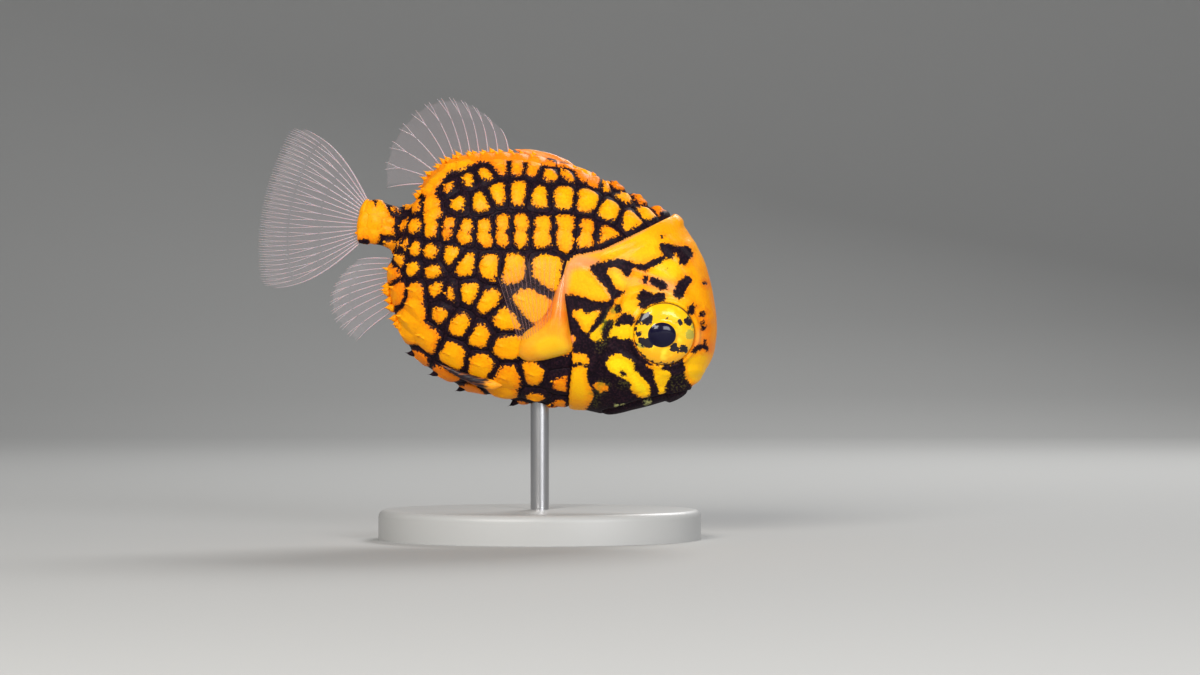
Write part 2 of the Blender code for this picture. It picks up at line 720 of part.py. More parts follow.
def stand_rod(rod_at, belly):
    """A rod whose top is cut to the slope of the belly, a gap below it."""
    bottom, sides = STAND_THICK + GAP, 20
    bm = bmesh.new()
    bmesh.ops.create_cone(bm, cap_ends=True, segments=sides, radius1=ROD_RADIUS,
                          radius2=ROD_RADIUS, depth=1.0)
    for vert in bm.verts:
        vert.co.x += rod_at
        if vert.co.z < 0:
            vert.co.z = bottom
        else:
            start = Vector((vert.co.x, vert.co.y, 0))
            hit = belly.ray_cast(start, Vector((0, 0, 1)))[0]
            vert.co.z = hit.z - GAP
    return as_triangles(bm)


# Putting it together
def cut_out(name, grown, blades, collection, operation="DIFFERENCE"):
    """A body part: the whole body, with its pieces joined on and the rest cut away."""
    node = object_of(name, whole_body(), collection)
    if grown:
        pieces = new_collection(f"{name}_pieces")
        for k, bm in enumerate(grown):
            object_of(f"{name}_piece_{k}", bm, pieces)
        if name == "torso":
            dorsal_spines(pieces)
        combine(node, pieces, "UNION")
    cutters = new_collection(f"{name}_cutters")
    for k, bm in enumerate(blades):
        object_of(f"{name}_blade_{k}", bm, cutters)
    if name == "head":
        nostril_cutters(SKIN, cutters)
    combine(node, cutters, operation)
    tidy(node)
    return node


def left_copy(right, name, collection):
    """The left side's twin of a finished node of the right side."""
    bm = bmesh.new()
    bm.from_mesh(right.data)
    for vert in bm.verts:
        vert.co = mirrored(vert.co)
    return object_of(name, as_triangles(bm), collection)


def pose(nodes):
    """Tips the fish to its pose, over the stand and with its length centred on the origin."""
    for obj in nodes:
        obj.data.transform(TURN.to_4x4())
    points = [v.co for obj in nodes for v in obj.data.vertices]
    lengthwise = [p.x for p in points]
    tail_root = Vector((-(min(lengthwise) + max(lengthwise)) / 2, 0,
                        STAND_THICK + ROD_CLEAR - min(p.z for p in points)))
    for obj in nodes:
        obj.data.transform(Matrix.Translation(tail_root))
    return tail_root


def build():
    fish = new_collection("pinecone_fish")
    looks = {name: material(name) for name in COLOURS}
    half = GAP / 2
    pocket = [root_pad(SKIN, PECTORAL_PAD, [r + GAP / LENGTH for r in PECTORAL_PAD_REACH],
                       POCKET_FLOOR, PAD_HEIGHT + 2 * GAP),
              root_pad(SKIN, PELVIC_PAD, [r + GAP / LENGTH for r in PELVIC_PAD_REACH],
                       POCKET_FLOOR, PAD_HEIGHT + 2 * GAP),
              pelvic_spine(SKIN, PELVIC_RADIUS + GAP)]
    sockets = [both_sides(bm) for bm in pocket]
    nodes = {
        "torso": cut_out("torso", [scute_armour(SKIN, lambda p: p.x > 0.116 * LENGTH)],
                         [ahead_of_gill(-half), behind_tail(half)] + sockets, fish),
        "tail": cut_out("tail", [scute_armour(SKIN, lambda p: p.x < 0.116 * LENGTH)],
                        [ahead_of_tail(-half)], fish),
        "head": cut_out("head", [head_plates(SKIN, HEAD_PLATES), both_sides(eye_rim(SKIN))],
                        [behind_gill(half), under_mouth(-half), both_sides(eyeball(SKIN, GAP))],
                        fish),
        "lower_jaw": cut_out("lower_jaw", [head_plates(SKIN, JAW_PLATES)],
                             [under_mouth(half)], fish, "INTERSECT"),
        "tail_fin": object_of("tail_fin", tail_fin(), fish),
        "soft_dorsal_fin": object_of("soft_dorsal_fin", soft_dorsal_fin(), fish),
        "anal_fin": object_of("anal_fin", anal_fin(), fish),
        "eye_right": object_of("eye_right", eyeball(SKIN), fish),
    }
    for name, pad, reach, vane in (
            ("pectoral_fin_right", PECTORAL_PAD, PECTORAL_PAD_REACH, pectoral_vane(SKIN)),
            ("pelvic_fin_right", PELVIC_PAD, PELVIC_PAD_REACH, pelvic_spine(SKIN, PELVIC_RADIUS))):
        nodes[name] = object_of(name, root_pad(SKIN, pad, reach, GAP, PAD_HEIGHT), fish)
        pieces = new_collection(f"{name}_pieces")
        object_of(f"{name}_vane", vane, pieces)
        combine(nodes[name], pieces, "UNION")
        tidy(nodes[name])
    for name in ("eye", "pectoral_fin", "pelvic_fin"):
        nodes[f"{name}_left"] = left_copy(nodes[f"{name}_right"], f"{name}_left", fish)

    rod_at = pose(nodes.values()).x + ROD_FORWARD
    belly = bmesh.new()
    belly.from_mesh(nodes["torso"].data)
    nodes["stand_base"] = object_of("stand_base", stand_base(rod_at), fish)
    nodes["stand_rod"] = object_of("stand_rod", stand_rod(rod_at, BVHTree.FromBMesh(belly)), fish)
    belly.free()

    for name, obj in nodes.items():
        slot = next(look for start, look in SLOTS if name.startswith(start))
        obj.data.materials.clear()
        obj.data.materials.append(looks[slot])
        print(f"{name}: {len(obj.data.polygons)} triangles")


clear_scene()
SKIN = BVHTree.FromBMesh(whole_body())
build()
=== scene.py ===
import math
import random
from collections import namedtuple

import bmesh
import bpy
import numpy as np
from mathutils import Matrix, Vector
from mathutils.bvhtree import BVHTree


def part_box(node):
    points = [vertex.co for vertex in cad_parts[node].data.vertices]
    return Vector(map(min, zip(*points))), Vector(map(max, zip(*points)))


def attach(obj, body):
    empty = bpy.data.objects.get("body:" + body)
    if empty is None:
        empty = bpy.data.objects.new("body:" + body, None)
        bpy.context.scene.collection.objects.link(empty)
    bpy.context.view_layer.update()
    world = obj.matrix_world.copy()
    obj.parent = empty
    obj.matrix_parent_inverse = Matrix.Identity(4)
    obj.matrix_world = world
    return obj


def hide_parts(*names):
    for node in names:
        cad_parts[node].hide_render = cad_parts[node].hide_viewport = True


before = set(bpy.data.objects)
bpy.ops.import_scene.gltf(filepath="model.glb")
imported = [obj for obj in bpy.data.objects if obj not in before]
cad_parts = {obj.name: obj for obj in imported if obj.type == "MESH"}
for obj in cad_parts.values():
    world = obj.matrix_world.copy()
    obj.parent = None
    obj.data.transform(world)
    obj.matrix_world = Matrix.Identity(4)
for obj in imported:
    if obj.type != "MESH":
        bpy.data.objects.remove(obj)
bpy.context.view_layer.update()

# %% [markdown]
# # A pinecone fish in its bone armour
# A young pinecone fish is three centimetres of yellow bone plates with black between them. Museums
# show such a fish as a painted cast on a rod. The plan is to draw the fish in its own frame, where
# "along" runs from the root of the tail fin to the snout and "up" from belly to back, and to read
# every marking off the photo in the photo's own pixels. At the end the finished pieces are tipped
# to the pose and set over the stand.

LENGTH = 0.030                 # snout to the root of the tail fin
PITCH = math.radians(16.4)     # how far the head is tipped down
COS, SIN = math.cos(PITCH), math.sin(PITCH)
PX = LENGTH / 372              # one pixel of the photo, on the fish
PHOTO_ROOT = (360.0, 225.0)    # where the photo shows the root of the tail fin
MM = 0.001
ROD_AHEAD = 0.0145             # the rod stands this far ahead of the tail fin's root
ROOT_ABOVE_BELLY = 0.0151335   # the tail fin's root above the fish's lowest point

rod_low, rod_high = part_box("stand_rod")
belly_z = min(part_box(name)[0][2] for name in ("torso", "head", "lower_jaw"))
TAIL_ROOT = np.array(((rod_low[0] + rod_high[0]) / 2 - ROD_AHEAD, 0.0, belly_z + ROOT_ABOVE_BELLY))


def to_photo(points):
    """The pixel of the photo where each point of the fish shows, as two arrays."""
    x = PHOTO_ROOT[0] + (points[:, 0] * COS + points[:, 2] * SIN) / PX
    y = PHOTO_ROOT[1] + (points[:, 0] * SIN - points[:, 2] * COS) / PX
    return x, y


def from_photo(x, y):
    """The place along and up the fish of a pixel of the photo, in metres."""
    dx, dy = (x - PHOTO_ROOT[0]) * PX, (y - PHOTO_ROOT[1]) * PX
    return dx * COS + dy * SIN, dx * SIN - dy * COS


def placed(points):
    """Points of the fish's frame, tipped to the pose and set over the stand."""
    turned = np.stack((points[:, 0] * COS + points[:, 2] * SIN, points[:, 1],
                       -points[:, 0] * SIN + points[:, 2] * COS), axis=1)
    return turned + TAIL_ROOT


print("tail fin's root at", TAIL_ROOT.round(5))

# %% [markdown]
# ## Distances in the photo
# Every marking and every ridge starts as a plain outline on the photo. A signed distance to that
# outline, in pixels, does two jobs: it can raise the surface smoothly, and a shader can cut it to a
# crisp, grainy edge that doesn't depend on how fine the mesh is. Outlines are rounded by cutting
# their corners twice, because nothing on a fish has a sharp corner.

# %% Signed distances
def rounded(corners, times=2):
    """A closed outline with its corners cut."""
    line = np.array(corners, float)
    for _ in range(times):
        ahead = np.roll(line, -1, axis=0)
        line = np.stack((line * 0.75 + ahead * 0.25, line * 0.25 + ahead * 0.75), 1).reshape(-1, 2)
    return line


def to_line(x, y, a, b):
    """Distance from each pixel to the straight line between a and b."""
    edge = b - a
    share = np.clip(((x - a[0]) * edge[0] + (y - a[1]) * edge[1]) / (edge @ edge), 0, 1)
    return np.hypot(x - a[0] - share * edge[0], y - a[1] - share * edge[1])


def to_area(x, y, corners, cuts=2):
    """Signed distance to a closed outline, below 0 inside."""
    line = rounded(corners, cuts)
    nearest = np.full(x.shape, 1e9)
    inside = np.zeros(x.shape, bool)
    for a, b in zip(line, np.roll(line, -1, axis=0)):
        nearest = np.minimum(nearest, to_line(x, y, a, b))
        rise = b[1] - a[1] if b[1] != a[1] else 1e-9
        crossed = a[0] + (y - a[1]) * (b[0] - a[0]) / rise
        inside ^= ((a[1] > y) != (b[1] > y)) & (x < crossed)
    return np.where(inside, -nearest, nearest)


def to_stroke(x, y, points, width):
    """Signed distance to a stroke of that width, below 0 inside."""
    line = np.array(points, float)
    nearest = np.full(x.shape, 1e9)
    for a, b in zip(line[:-1], line[1:]):
        nearest = np.minimum(nearest, to_line(x, y, a, b))
    return nearest - width / 2


def to_spot(x, y, centre, radius, tall=1.0):
    """Signed distance to a round spot, or to one that is tall times as high as wide."""
    return np.hypot(x - centre[0], (y - centre[1]) / tall) - radius


def ease(values, low, high):
    """0 below low and 1 above high, with a smooth rise between."""
    share = np.clip((values - low) / (high - low), 0, 1)
    return share * share * (3 - 2 * share)


def hump(values, middle, wide):
    """1 at the middle, falling to 0 on both sides over about that width."""
    return np.exp(-((values - middle) / wide) ** 2)


FAR_OFF = 14.0                 # depths past this many pixels all look the same


def deepest(depths):
    """The greatest of some depths at each point, and never less than -FAR_OFF."""
    return np.maximum(np.max(list(depths), axis=0), -FAR_OFF)


print("a hump one width from its middle:", hump(1.0, 0.0, 1.0).round(2))


# %% [markdown]
# ## The body's form
# The side view gives the body as a row of stations from tail to snout, each with a back point, a
# belly point and a half width. A smooth curve through them and a section a little fuller than an
# ellipse give any point of the skin. One sheet rolled round those sections is the whole skin, with
# its rings close together on the head, which gets the finest forms.

# %% Stations and skin points
# the back's point (along, up), the belly's point (along, up) and the half width, in fish lengths
STATIONS = np.array((
    (0.000, 0.068, 0.010, -0.047, 0.021), (0.030, 0.078, 0.035, -0.042, 0.030),
    (0.070, 0.076, 0.075, -0.037, 0.035), (0.120, 0.086, 0.106, -0.046, 0.042),
    (0.136, 0.138, 0.110, -0.103, 0.064), (0.152, 0.188, 0.134, -0.160, 0.086),
    (0.190, 0.236, 0.178, -0.232, 0.116), (0.245, 0.268, 0.238, -0.288, 0.143),
    (0.320, 0.294, 0.315, -0.325, 0.166), (0.420, 0.311, 0.410, -0.338, 0.182),
    (0.520, 0.310, 0.510, -0.334, 0.190), (0.640, 0.291, 0.610, -0.322, 0.190),
    (0.740, 0.264, 0.700, -0.304, 0.184), (0.820, 0.248, 0.776, -0.298, 0.174),
    (0.900, 0.184, 0.848, -0.261, 0.160), (0.941, 0.128, 0.903, -0.228, 0.138),
    (0.974, 0.066, 0.953, -0.193, 0.108), (0.998, 0.006, 0.984, -0.152, 0.072),
    (1.008, -0.044, 1.003, -0.104, 0.032)))
LAST = len(STATIONS) - 1
FULLNESS = 0.92                # below 1 a section is fuller than an ellipse
SNOUT_CAP, TAIL_CAP = 0.0035, 0.011    # how far the rounded end caps stand out, in fish lengths


def station(t):
    """Back (along, up), belly (along, up) and half width at each t, in metres."""
    t = np.clip(t, 0.0, LAST)
    i = np.minimum(t.astype(int), LAST - 1)
    f = (t - i)[:, None]
    a, b, c, d = (STATIONS[np.clip(i + k, 0, LAST)] for k in (-1, 0, 1, 2))
    row = 0.5 * (2 * b + (c - a) * f + (2 * a - 5 * b + 4 * c - d) * f ** 2
                 + (3 * b - a - 3 * c + d) * f ** 3)
    return row * LENGTH


def skin_points(t, turn):
    """Points of the skin at station t, turned from the back (0) down the right side."""
    row = station(t)
    past = np.clip(np.maximum(t - LAST, -t), 0, 1)
    shrink = 1 - past
    out = (1 - shrink ** 2) * np.where(t > 1, SNOUT_CAP, -TAIL_CAP) * LENGTH
    middle = (row[:, :2] + row[:, 2:4]) / 2
    up, side = np.cos(turn), np.sin(turn)
    reach = (row[:, :2] - middle) * (up * shrink)[:, None]
    across = -np.copysign(row[:, 4] * np.abs(side) ** FULLNESS, side) * shrink
    return np.stack((middle[:, 0] + reach[:, 0] + out, across, middle[:, 1] + reach[:, 1]), axis=1)


# %% Sheets and tubes
WELD, FINE_WELD, SAME_PLACE = 1e-7, 1e-8, 1e-9     # points nearer than this, in metres, are one


def new_sheet(across, along):
    """A flat sheet as a bmesh with UVs, and how far across and along it each point is, 0 to 1."""
    bm = bmesh.new()
    bm.loops.layers.uv.new("OFBake")
    bmesh.ops.create_grid(bm, x_segments=across, y_segments=along, size=0.5, calc_uvs=True)
    flat = np.array([vert.co[:2] for vert in bm.verts]) + 0.5
    return bm, flat[:, 0], flat[:, 1]


def move_points(bm, points):
    """Sets every point of a bmesh."""
    for vert, point in zip(bm.verts, points.tolist()):
        vert.co = point


def rolled(across, along, place, weld=WELD):
    """A sheet rolled into a closed tube by place(u, v), with its seam and its poles welded."""
    bm, u, v = new_sheet(across, along)
    move_points(bm, place(u, v))
    bmesh.ops.remove_doubles(bm, verts=bm.verts, dist=weld)
    bm.normal_update()
    bmesh.ops.recalc_face_normals(bm, faces=bm.faces)
    if bm.calc_volume(signed=True) < 0:            # a thin sheet can come out inside out
        bmesh.ops.reverse_faces(bm, faces=bm.faces)
    return bm


# %% Rolling the body
SIDE_CLOSER = 0.12             # packs the rings' points closer on the flanks than on the ridges
BODY_AROUND, BODY_RINGS = 320, 296
HEAD_FROM, HEAD_SHARE = 10.0, 0.62   # stations from here on get this share of the rings


def ring_station(v):
    """Which station each ring lies at, with a rounded cap beyond both ends."""
    trunk = -1 + (HEAD_FROM + 1) * v / (1 - HEAD_SHARE)
    head = HEAD_FROM + (LAST + 1 - HEAD_FROM) * (v - 1 + HEAD_SHARE) / HEAD_SHARE
    return np.where(v < 1 - HEAD_SHARE, trunk, head)


def body_place(u, v):
    """Points of the body for a sheet's u, round it, and v, from the tail to the snout."""
    turn = 2 * math.pi * u
    return skin_points(ring_station(v), turn + SIDE_CLOSER * np.sin(2 * turn))


body = rolled(BODY_AROUND, BODY_RINGS, body_place)
SKIN = BVHTree.FromBMesh(body)
print("skin:", len(body.verts), "points")


def on_side(along, up):
    """The right side's skin at a place of the side view, and which way it faces."""
    place, normal, _, _ = SKIN.ray_cast(Vector((along, -LENGTH, up)), Vector((0, 1, 0)))
    if place is None:
        place, normal, _, _ = SKIN.find_nearest(Vector((along, 0, up)))
    return np.array(place), np.array(normal)


def as_arrays(found):
    """A list of places with the way the skin faces there, as two arrays."""
    return np.array([each[0] for each in found]), np.array([each[1] for each in found])


def lay_on_skin(points):
    """Each point's nearest place on the skin, and which way the skin faces there."""
    return as_arrays([SKIN.find_nearest(Vector(point)) for point in points.tolist()])


def along_skin(facing):
    """Headward and upward along the skin, where it faces this way."""
    forward = np.array((1.0, 0, 0)) - facing * facing[0]
    forward /= np.linalg.norm(forward)
    return forward, np.cross(facing, forward)


# %% [markdown]
# ## Where the scutes sit
# Each scute's middle is read off the photo, row by row. Every point of the flank belongs to its
# nearest middle, which divides the flank as real scutes do: like cells that have grown until they
# met. Scutes that run together in the photo share a group. The black net lies where two groups
# meet, and each row has its own net width, warmth of colour and spine.

# %% Scute middles from the photo
# row: group, part of the net on each side in pixels, warmth from lemon 0 to orange 1, the spine
# in mm, below 0 where it is black, and the middles, some with pixels of net of their own
SCUTE_ROWS = (
    ("", 2.6, 0.45, 0.24, ((451.5, 188, 2.6), (470, 181.5, 1.2), (486, 176.5, 0.8), (551, 174.5),
                           (566, 174), (605, 185, -0.6))),
    ("edge_a", 2.4, 0.65, 0.24, ((502, 168),)), ("edge_b", 2.4, 0.60, 0.24, ((518, 168),)),
    ("edge_c", 2.6, 0.60, 0.24, ((534, 170),)), ("edge_d", 2.0, 0.55, 0.24, ((585, 174),)),
    ("", 2.7, 0.34, 0.24, ((461.5, 204.5, 2.2), (482.5, 203, 0.8), (499.5, 195), (519.5, 194),
                           (540.5, 198, 1.4), (564, 198), (587.5, 202), (610, 212.5),
                           (629.5, 220.5, 1.0), (646, 213, -0.4), (625.5, 198))),
    ("lateral", 2.2, 0.50, 0.24, ((449.5, 230), (467.5, 234.5), (487, 234), (504.5, 232.5),
                                  (522.5, 232), (543, 233), (566.5, 232.5), (587.5, 235),
                                  (604.5, 238, 1.6))),
    ("edge", 2.4, 0.50, 0.24, ((452, 167), (463, 165), (438, 181), (429, 192), (430, 205),
                               (433, 218), (434.5, 231))),
    ("", 2.9, 0.34, 0.28, ((432.5, 253.5), (455, 257.5), (467, 265.5), (491.5, 268.5, 0.6),
                           (514.5, 271.5), (545, 271, 1.6))),
    ("", 2.0, 0.45, 0.28, ((416, 251), (402, 258), (406, 247))),
    ("", 3.0, 0.34, 0.30, ((415.5, 267.5), (435.5, 272), (439.5, 290.5), (471.5, 294), (489, 302.5),
                           (527, 301.5, 1.6))),
    ("", 4.4, 0.40, 0.24, ((451.5, 295), (444.5, 311.5))),
    ("", 2.0, 0.75, 0.55, ((395, 274), (399, 291))),
    ("rear", 2.6, 0.60, 0.50, ((419, 292), (417, 307), (410, 321), (407, 335), (429, 338))),
    ("", 3.4, 0.36, 0.30, ((462, 323.5), (483, 335), (504.5, 319.5), (505.5, 346), (454.5, 354),
                           (484, 364.5))),
    ("pelvic", 2.6, 0.55, 0.34, ((508.5, 377), (506, 394))),
    ("", 3.8, 0.45, 0.24, ((536.5, 373.5), (537.5, 397.5, 1.6))),
    ("", 6.0, 0.70, 0.20, ((558, 381, 1.5), (553, 356, 9), (556, 403))),
    ("", 3.4, 0.98, -0.70, ((420, 357), (444, 375), (471, 389), (524, 405, 2), (548, 409))),
    ("", 2.0, 0.50, 0.20, ((395, 210.5), (408.5, 207), (420, 206), (404, 227.5), (416.5, 228),
                           (388.5, 242.5), (401, 246))),
    ("saddle", 1.6, 0.50, 0.10, ((362, 207), (376, 207), (362, 221), (377, 223), (362, 235),
                                 (376, 236), (386, 213), (391, 222), (389, 232))),
)
# rows beside the mid-line: group, net, warmth, spine, first and last station, degrees, count
EDGE_ROWS = (
    ("edge", 2.0, 0.95, 0.50, 4.62, 8.90, 14.0, 10),
    ("edge", 2.0, 0.90, 0.20, 9.30, 10.50, 15.0, 4),
    ("nape", 1.6, 0.85, 0.20, 10.90, 12.26, 10.0, 3),
)
PINCHED = "lateral"            # these scutes are pinched at mid height by the pores between them
LONERS = (PINCHED, "nape", "") # groups whose scutes never run together
Fact = namedtuple("Fact", "group net warm spine")


def scute_sites():
    """All scutes of the right side: places, which way they face, and their rows' facts."""
    places, facings, facts = [], [], []
    for group, net, warm, spine, pixels in SCUTE_ROWS:
        for pixel in pixels:
            place, facing = on_side(*from_photo(*pixel[:2]))
            places.append(place)
            facings.append(facing)
            facts.append(Fact(group, (net + sum(pixel[2:])) * PX, warm, spine * MM))
    for group, net, warm, spine, first, last, degrees, count in EDGE_ROWS:
        row = skin_points(np.linspace(first, last, count), np.full(count, math.radians(degrees)))
        for place, facing in zip(*lay_on_skin(row)):
            places.append(place)
            facings.append(facing)
            facts.append(Fact(group, net * PX, warm, spine * MM))
    return np.array(places), np.array(facings), facts


MIRROR = np.array((1.0, -1.0, 1.0))
SITES, FACINGS, FACTS = scute_sites()
ALL_SITES = np.concatenate((SITES, SITES * MIRROR))
print("scutes a side:", len(SITES))

# %% Which scutes touch, and how far the yellow reaches
REACH = 1.9 * MM               # the most that a scute reaches from its middle
NEAR = 4.6 * MM                # only middles this near can be neighbours
TOO_NEAR = 1e-6                # and a scute on the middle line isn't its own mirror image's


def run_together(first, second):
    """True where two groups show no net between them: one group, or the back's edge and its lobes."""
    if first in LONERS:
        return False
    return first == second or {first[:4], second[:4]} == {"edge"} and "edge" in (first, second)


def neighbours(i):
    """For each neighbour of scute i: its place, and whether a net lies between."""
    found = []
    for j, other in enumerate(ALL_SITES):
        if TOO_NEAR < np.linalg.norm(other - SITES[i]) < NEAR:
            group = FACTS[j % len(SITES)].group
            found.append((other, not run_together(FACTS[i].group, group)))
    return found


NEIGHBOURS = [neighbours(i) for i in range(len(SITES))]
SOFT_CORNER = 0.20 * MM        # rounds the corners of the patches
PINCH_DEEP, PINCH_TALL = 2.6 * PX, 3.2 * PX


def to_borders(points, i):
    """Distance from each point to scute i's borders: all that carry a net, softly rounded."""
    soft = np.zeros(len(points))
    for other, netted in NEIGHBOURS[i]:
        if netted:
            away = (((points - other) ** 2).sum(1) - ((points - SITES[i]) ** 2).sum(1))
            away = away / (2 * np.linalg.norm(other - SITES[i]))
            soft += np.exp(-np.clip(away, -MM, 4 * MM) / SOFT_CORNER)
    return -SOFT_CORNER * np.log(np.maximum(soft, 1e-12))


def patch_of(points, i):
    """How deep each point lies inside scute i's yellow patch, in metres."""
    deep = to_borders(points, i) - FACTS[i].net
    if FACTS[i].group == PINCHED:
        deep = deep - PINCH_DEEP * hump(points[:, 2], SITES[i][2], PINCH_TALL)
    return deep


print("neighbours a scute:", round(sum(map(len, NEIGHBOURS)) / len(SITES), 1))


# %% [markdown]
# ## The head's relief
# The head is bone under a thin skin: a gill cover with a free edge that overlaps the trunk, a rough
# ridge behind the cheek, a brow over the eye, a band across the nape, and a small low mouth. Each
# is an outline or a stroke on the photo with a height. Adding them up and easing each one in over a
# few pixels gives forms that flow into each other, as they do under real skin.

# %% The head's forms, traced
GILL_EDGE = ((704, 175), (682, 205), (669, 219), (655, 226), (641, 233), (627, 240), (613, 247),
             (601, 252), (588, 255), (576, 257), (568, 264), (565, 275), (564, 285), (565, 300),
             (568, 316), (571, 335), (573, 350), (572, 370), (570, 392), (567, 440))
HEAD_AREA = GILL_EDGE + ((800, 440), (800, 175))
MOUTH = ((712, 383), (690, 388), (678, 389), (662, 393), (640, 400), (620, 406), (603, 411))
EYE_AT, IRIS = (663.0, 334.0), 30.2
NOSTRILS = ((699.0, 314.0), (701.0, 325.5))
# each area's height in mm, ease-in in pixels and outline
RAISED_AREAS = (
    (0.10, 5, ((566, 268), (575, 265), (588, 270), (600, 282), (612, 297), (607, 304), (590, 301),
               (566, 294))),
    (0.07, 4, ((572, 310), (602, 309), (598, 322), (588, 334), (580, 328))),
    (0.12, 6, ((568, 356), (578, 352), (590, 358), (593, 372), (594, 395), (588, 408), (568, 408))),
    (0.14, 8, ((600, 362), (612, 352), (632, 355), (650, 380), (644, 396), (616, 384))),
    (0.16, 7, ((640, 396), (655, 370), (690, 366), (706, 368), (700, 384), (664, 393))),
    (0.10, 6, ((684, 300), (704, 306), (712, 330), (706, 356), (694, 352), (690, 320))),
    (0.24, 5, ((664, 390), (672, 386), (687, 382), (691, 389), (684, 397), (674, 403), (666, 400))),
)
# each stroke's height in mm, ease-in and width in pixels, and points
RAISED_STROKES = (
    (0.15, 9, 12, ((574, 264), (600, 256), (630, 244), (656, 230), (674, 224))),
    (0.22, 5, 6, ((619, 297), (616, 308), (609, 325), (605, 338), (600, 351), (592, 368))),
    (0.16, 6, 7, ((614, 302), (624, 296), (640, 292), (664, 293), (684, 302))),
    (0.12, 6, 8, ((628, 270), (650, 276), (676, 290), (694, 304))),
    (0.12, 8, 12, ((664, 244), (684, 262), (700, 290), (708, 316))),
    (0.13, 4, 5, ((706, 377), (684, 382), (662, 388), (636, 396), (612, 404))),
    (0.12, 4, 5, ((690, 394), (664, 399), (640, 406), (616, 412), (598, 416))),
    (0.10, 5, 5, ((606, 345), (618, 352), (634, 362), (652, 370), (676, 372))),
)
# middle, radius in pixels and height in mm of the lumps and hollows on the head's middle line
CRESTS = (((677, 221), 9.0, 0.34), ((684, 237), 6.0, -0.10), ((690, 247), 8.0, 0.12),
          ((705, 386), 17.0, -0.45))
print("traced forms:", len(RAISED_AREAS) + len(RAISED_STROKES) + len(CRESTS))

# %% Raising the head's bones
# widths, and the distances over which a form fades, are in pixels
GILL_STEP, GILL_FADE = 0.26 * MM, 34.0     # the gill cover stands over the trunk
TRUNK_DIP, DIP_FADE = 0.10 * MM, 6.0       # and the trunk dips before it
SKIN_UNDER = 0.05 * MM                     # the trunk's skin lies this far under the scutes' edges
ROUND_EYE = 0.12 * MM                      # the height of the bone that holds the eye
RIM_AT, RIM_WIDE, RIM_HIGH = IRIS + 2.6, 2.2, 0.15 * MM
SOCKET_DEEP = 0.75 * MM
MOUTH_DEEP, MOUTH_WIDE = 0.34 * MM, 1.5
NOSTRIL_RIM, NOSTRIL_WIDE, NOSTRIL_HIGH, NOSTRIL_DEEP = 3.0, 1.3, 0.06 * MM, 0.28 * MM


def head_relief(x, y):
    """How far the skin is raised or sunk at each pixel of the side view, in metres."""
    ahead = -to_area(x, y, HEAD_AREA, cuts=0)
    height = GILL_STEP * ease(ahead, -1.0, 1.2) * np.exp(-np.maximum(ahead, 0) / GILL_FADE)
    height -= TRUNK_DIP * ease(-ahead, -1.0, 1.5) * np.exp(-np.maximum(-ahead, 0) / DIP_FADE)
    head = ease(ahead, -1, 2) * MM
    for rise, soft, corners in RAISED_AREAS:
        height += rise * head * ease(-to_area(x, y, corners), -soft / 2, soft / 2)
    for rise, soft, width, points in RAISED_STROKES:
        height += rise * head * ease(-to_stroke(x, y, points, width), -soft / 2, soft / 2)
    height -= SKIN_UNDER * ease(-ahead, 0, 3)
    from_eye = to_spot(x, y, EYE_AT, 0.0)
    calm = ease(from_eye, IRIS - 1, RIM_AT + 3)
    height = height * calm + ROUND_EYE * (1 - calm)
    height += RIM_HIGH * hump(from_eye, RIM_AT, RIM_WIDE)
    height -= SOCKET_DEEP * ease(-from_eye, -IRIS - 0.4, -IRIS + 2.2)
    height -= MOUTH_DEEP * hump(to_stroke(x, y, MOUTH, 0.0), 0, MOUTH_WIDE)
    for nostril in NOSTRILS:
        far = to_spot(x, y, nostril, 0.0)
        height += NOSTRIL_HIGH * hump(far, NOSTRIL_RIM, NOSTRIL_WIDE)
        height -= NOSTRIL_DEEP * ease(-far, -2.2, -0.6)
    return height, ahead
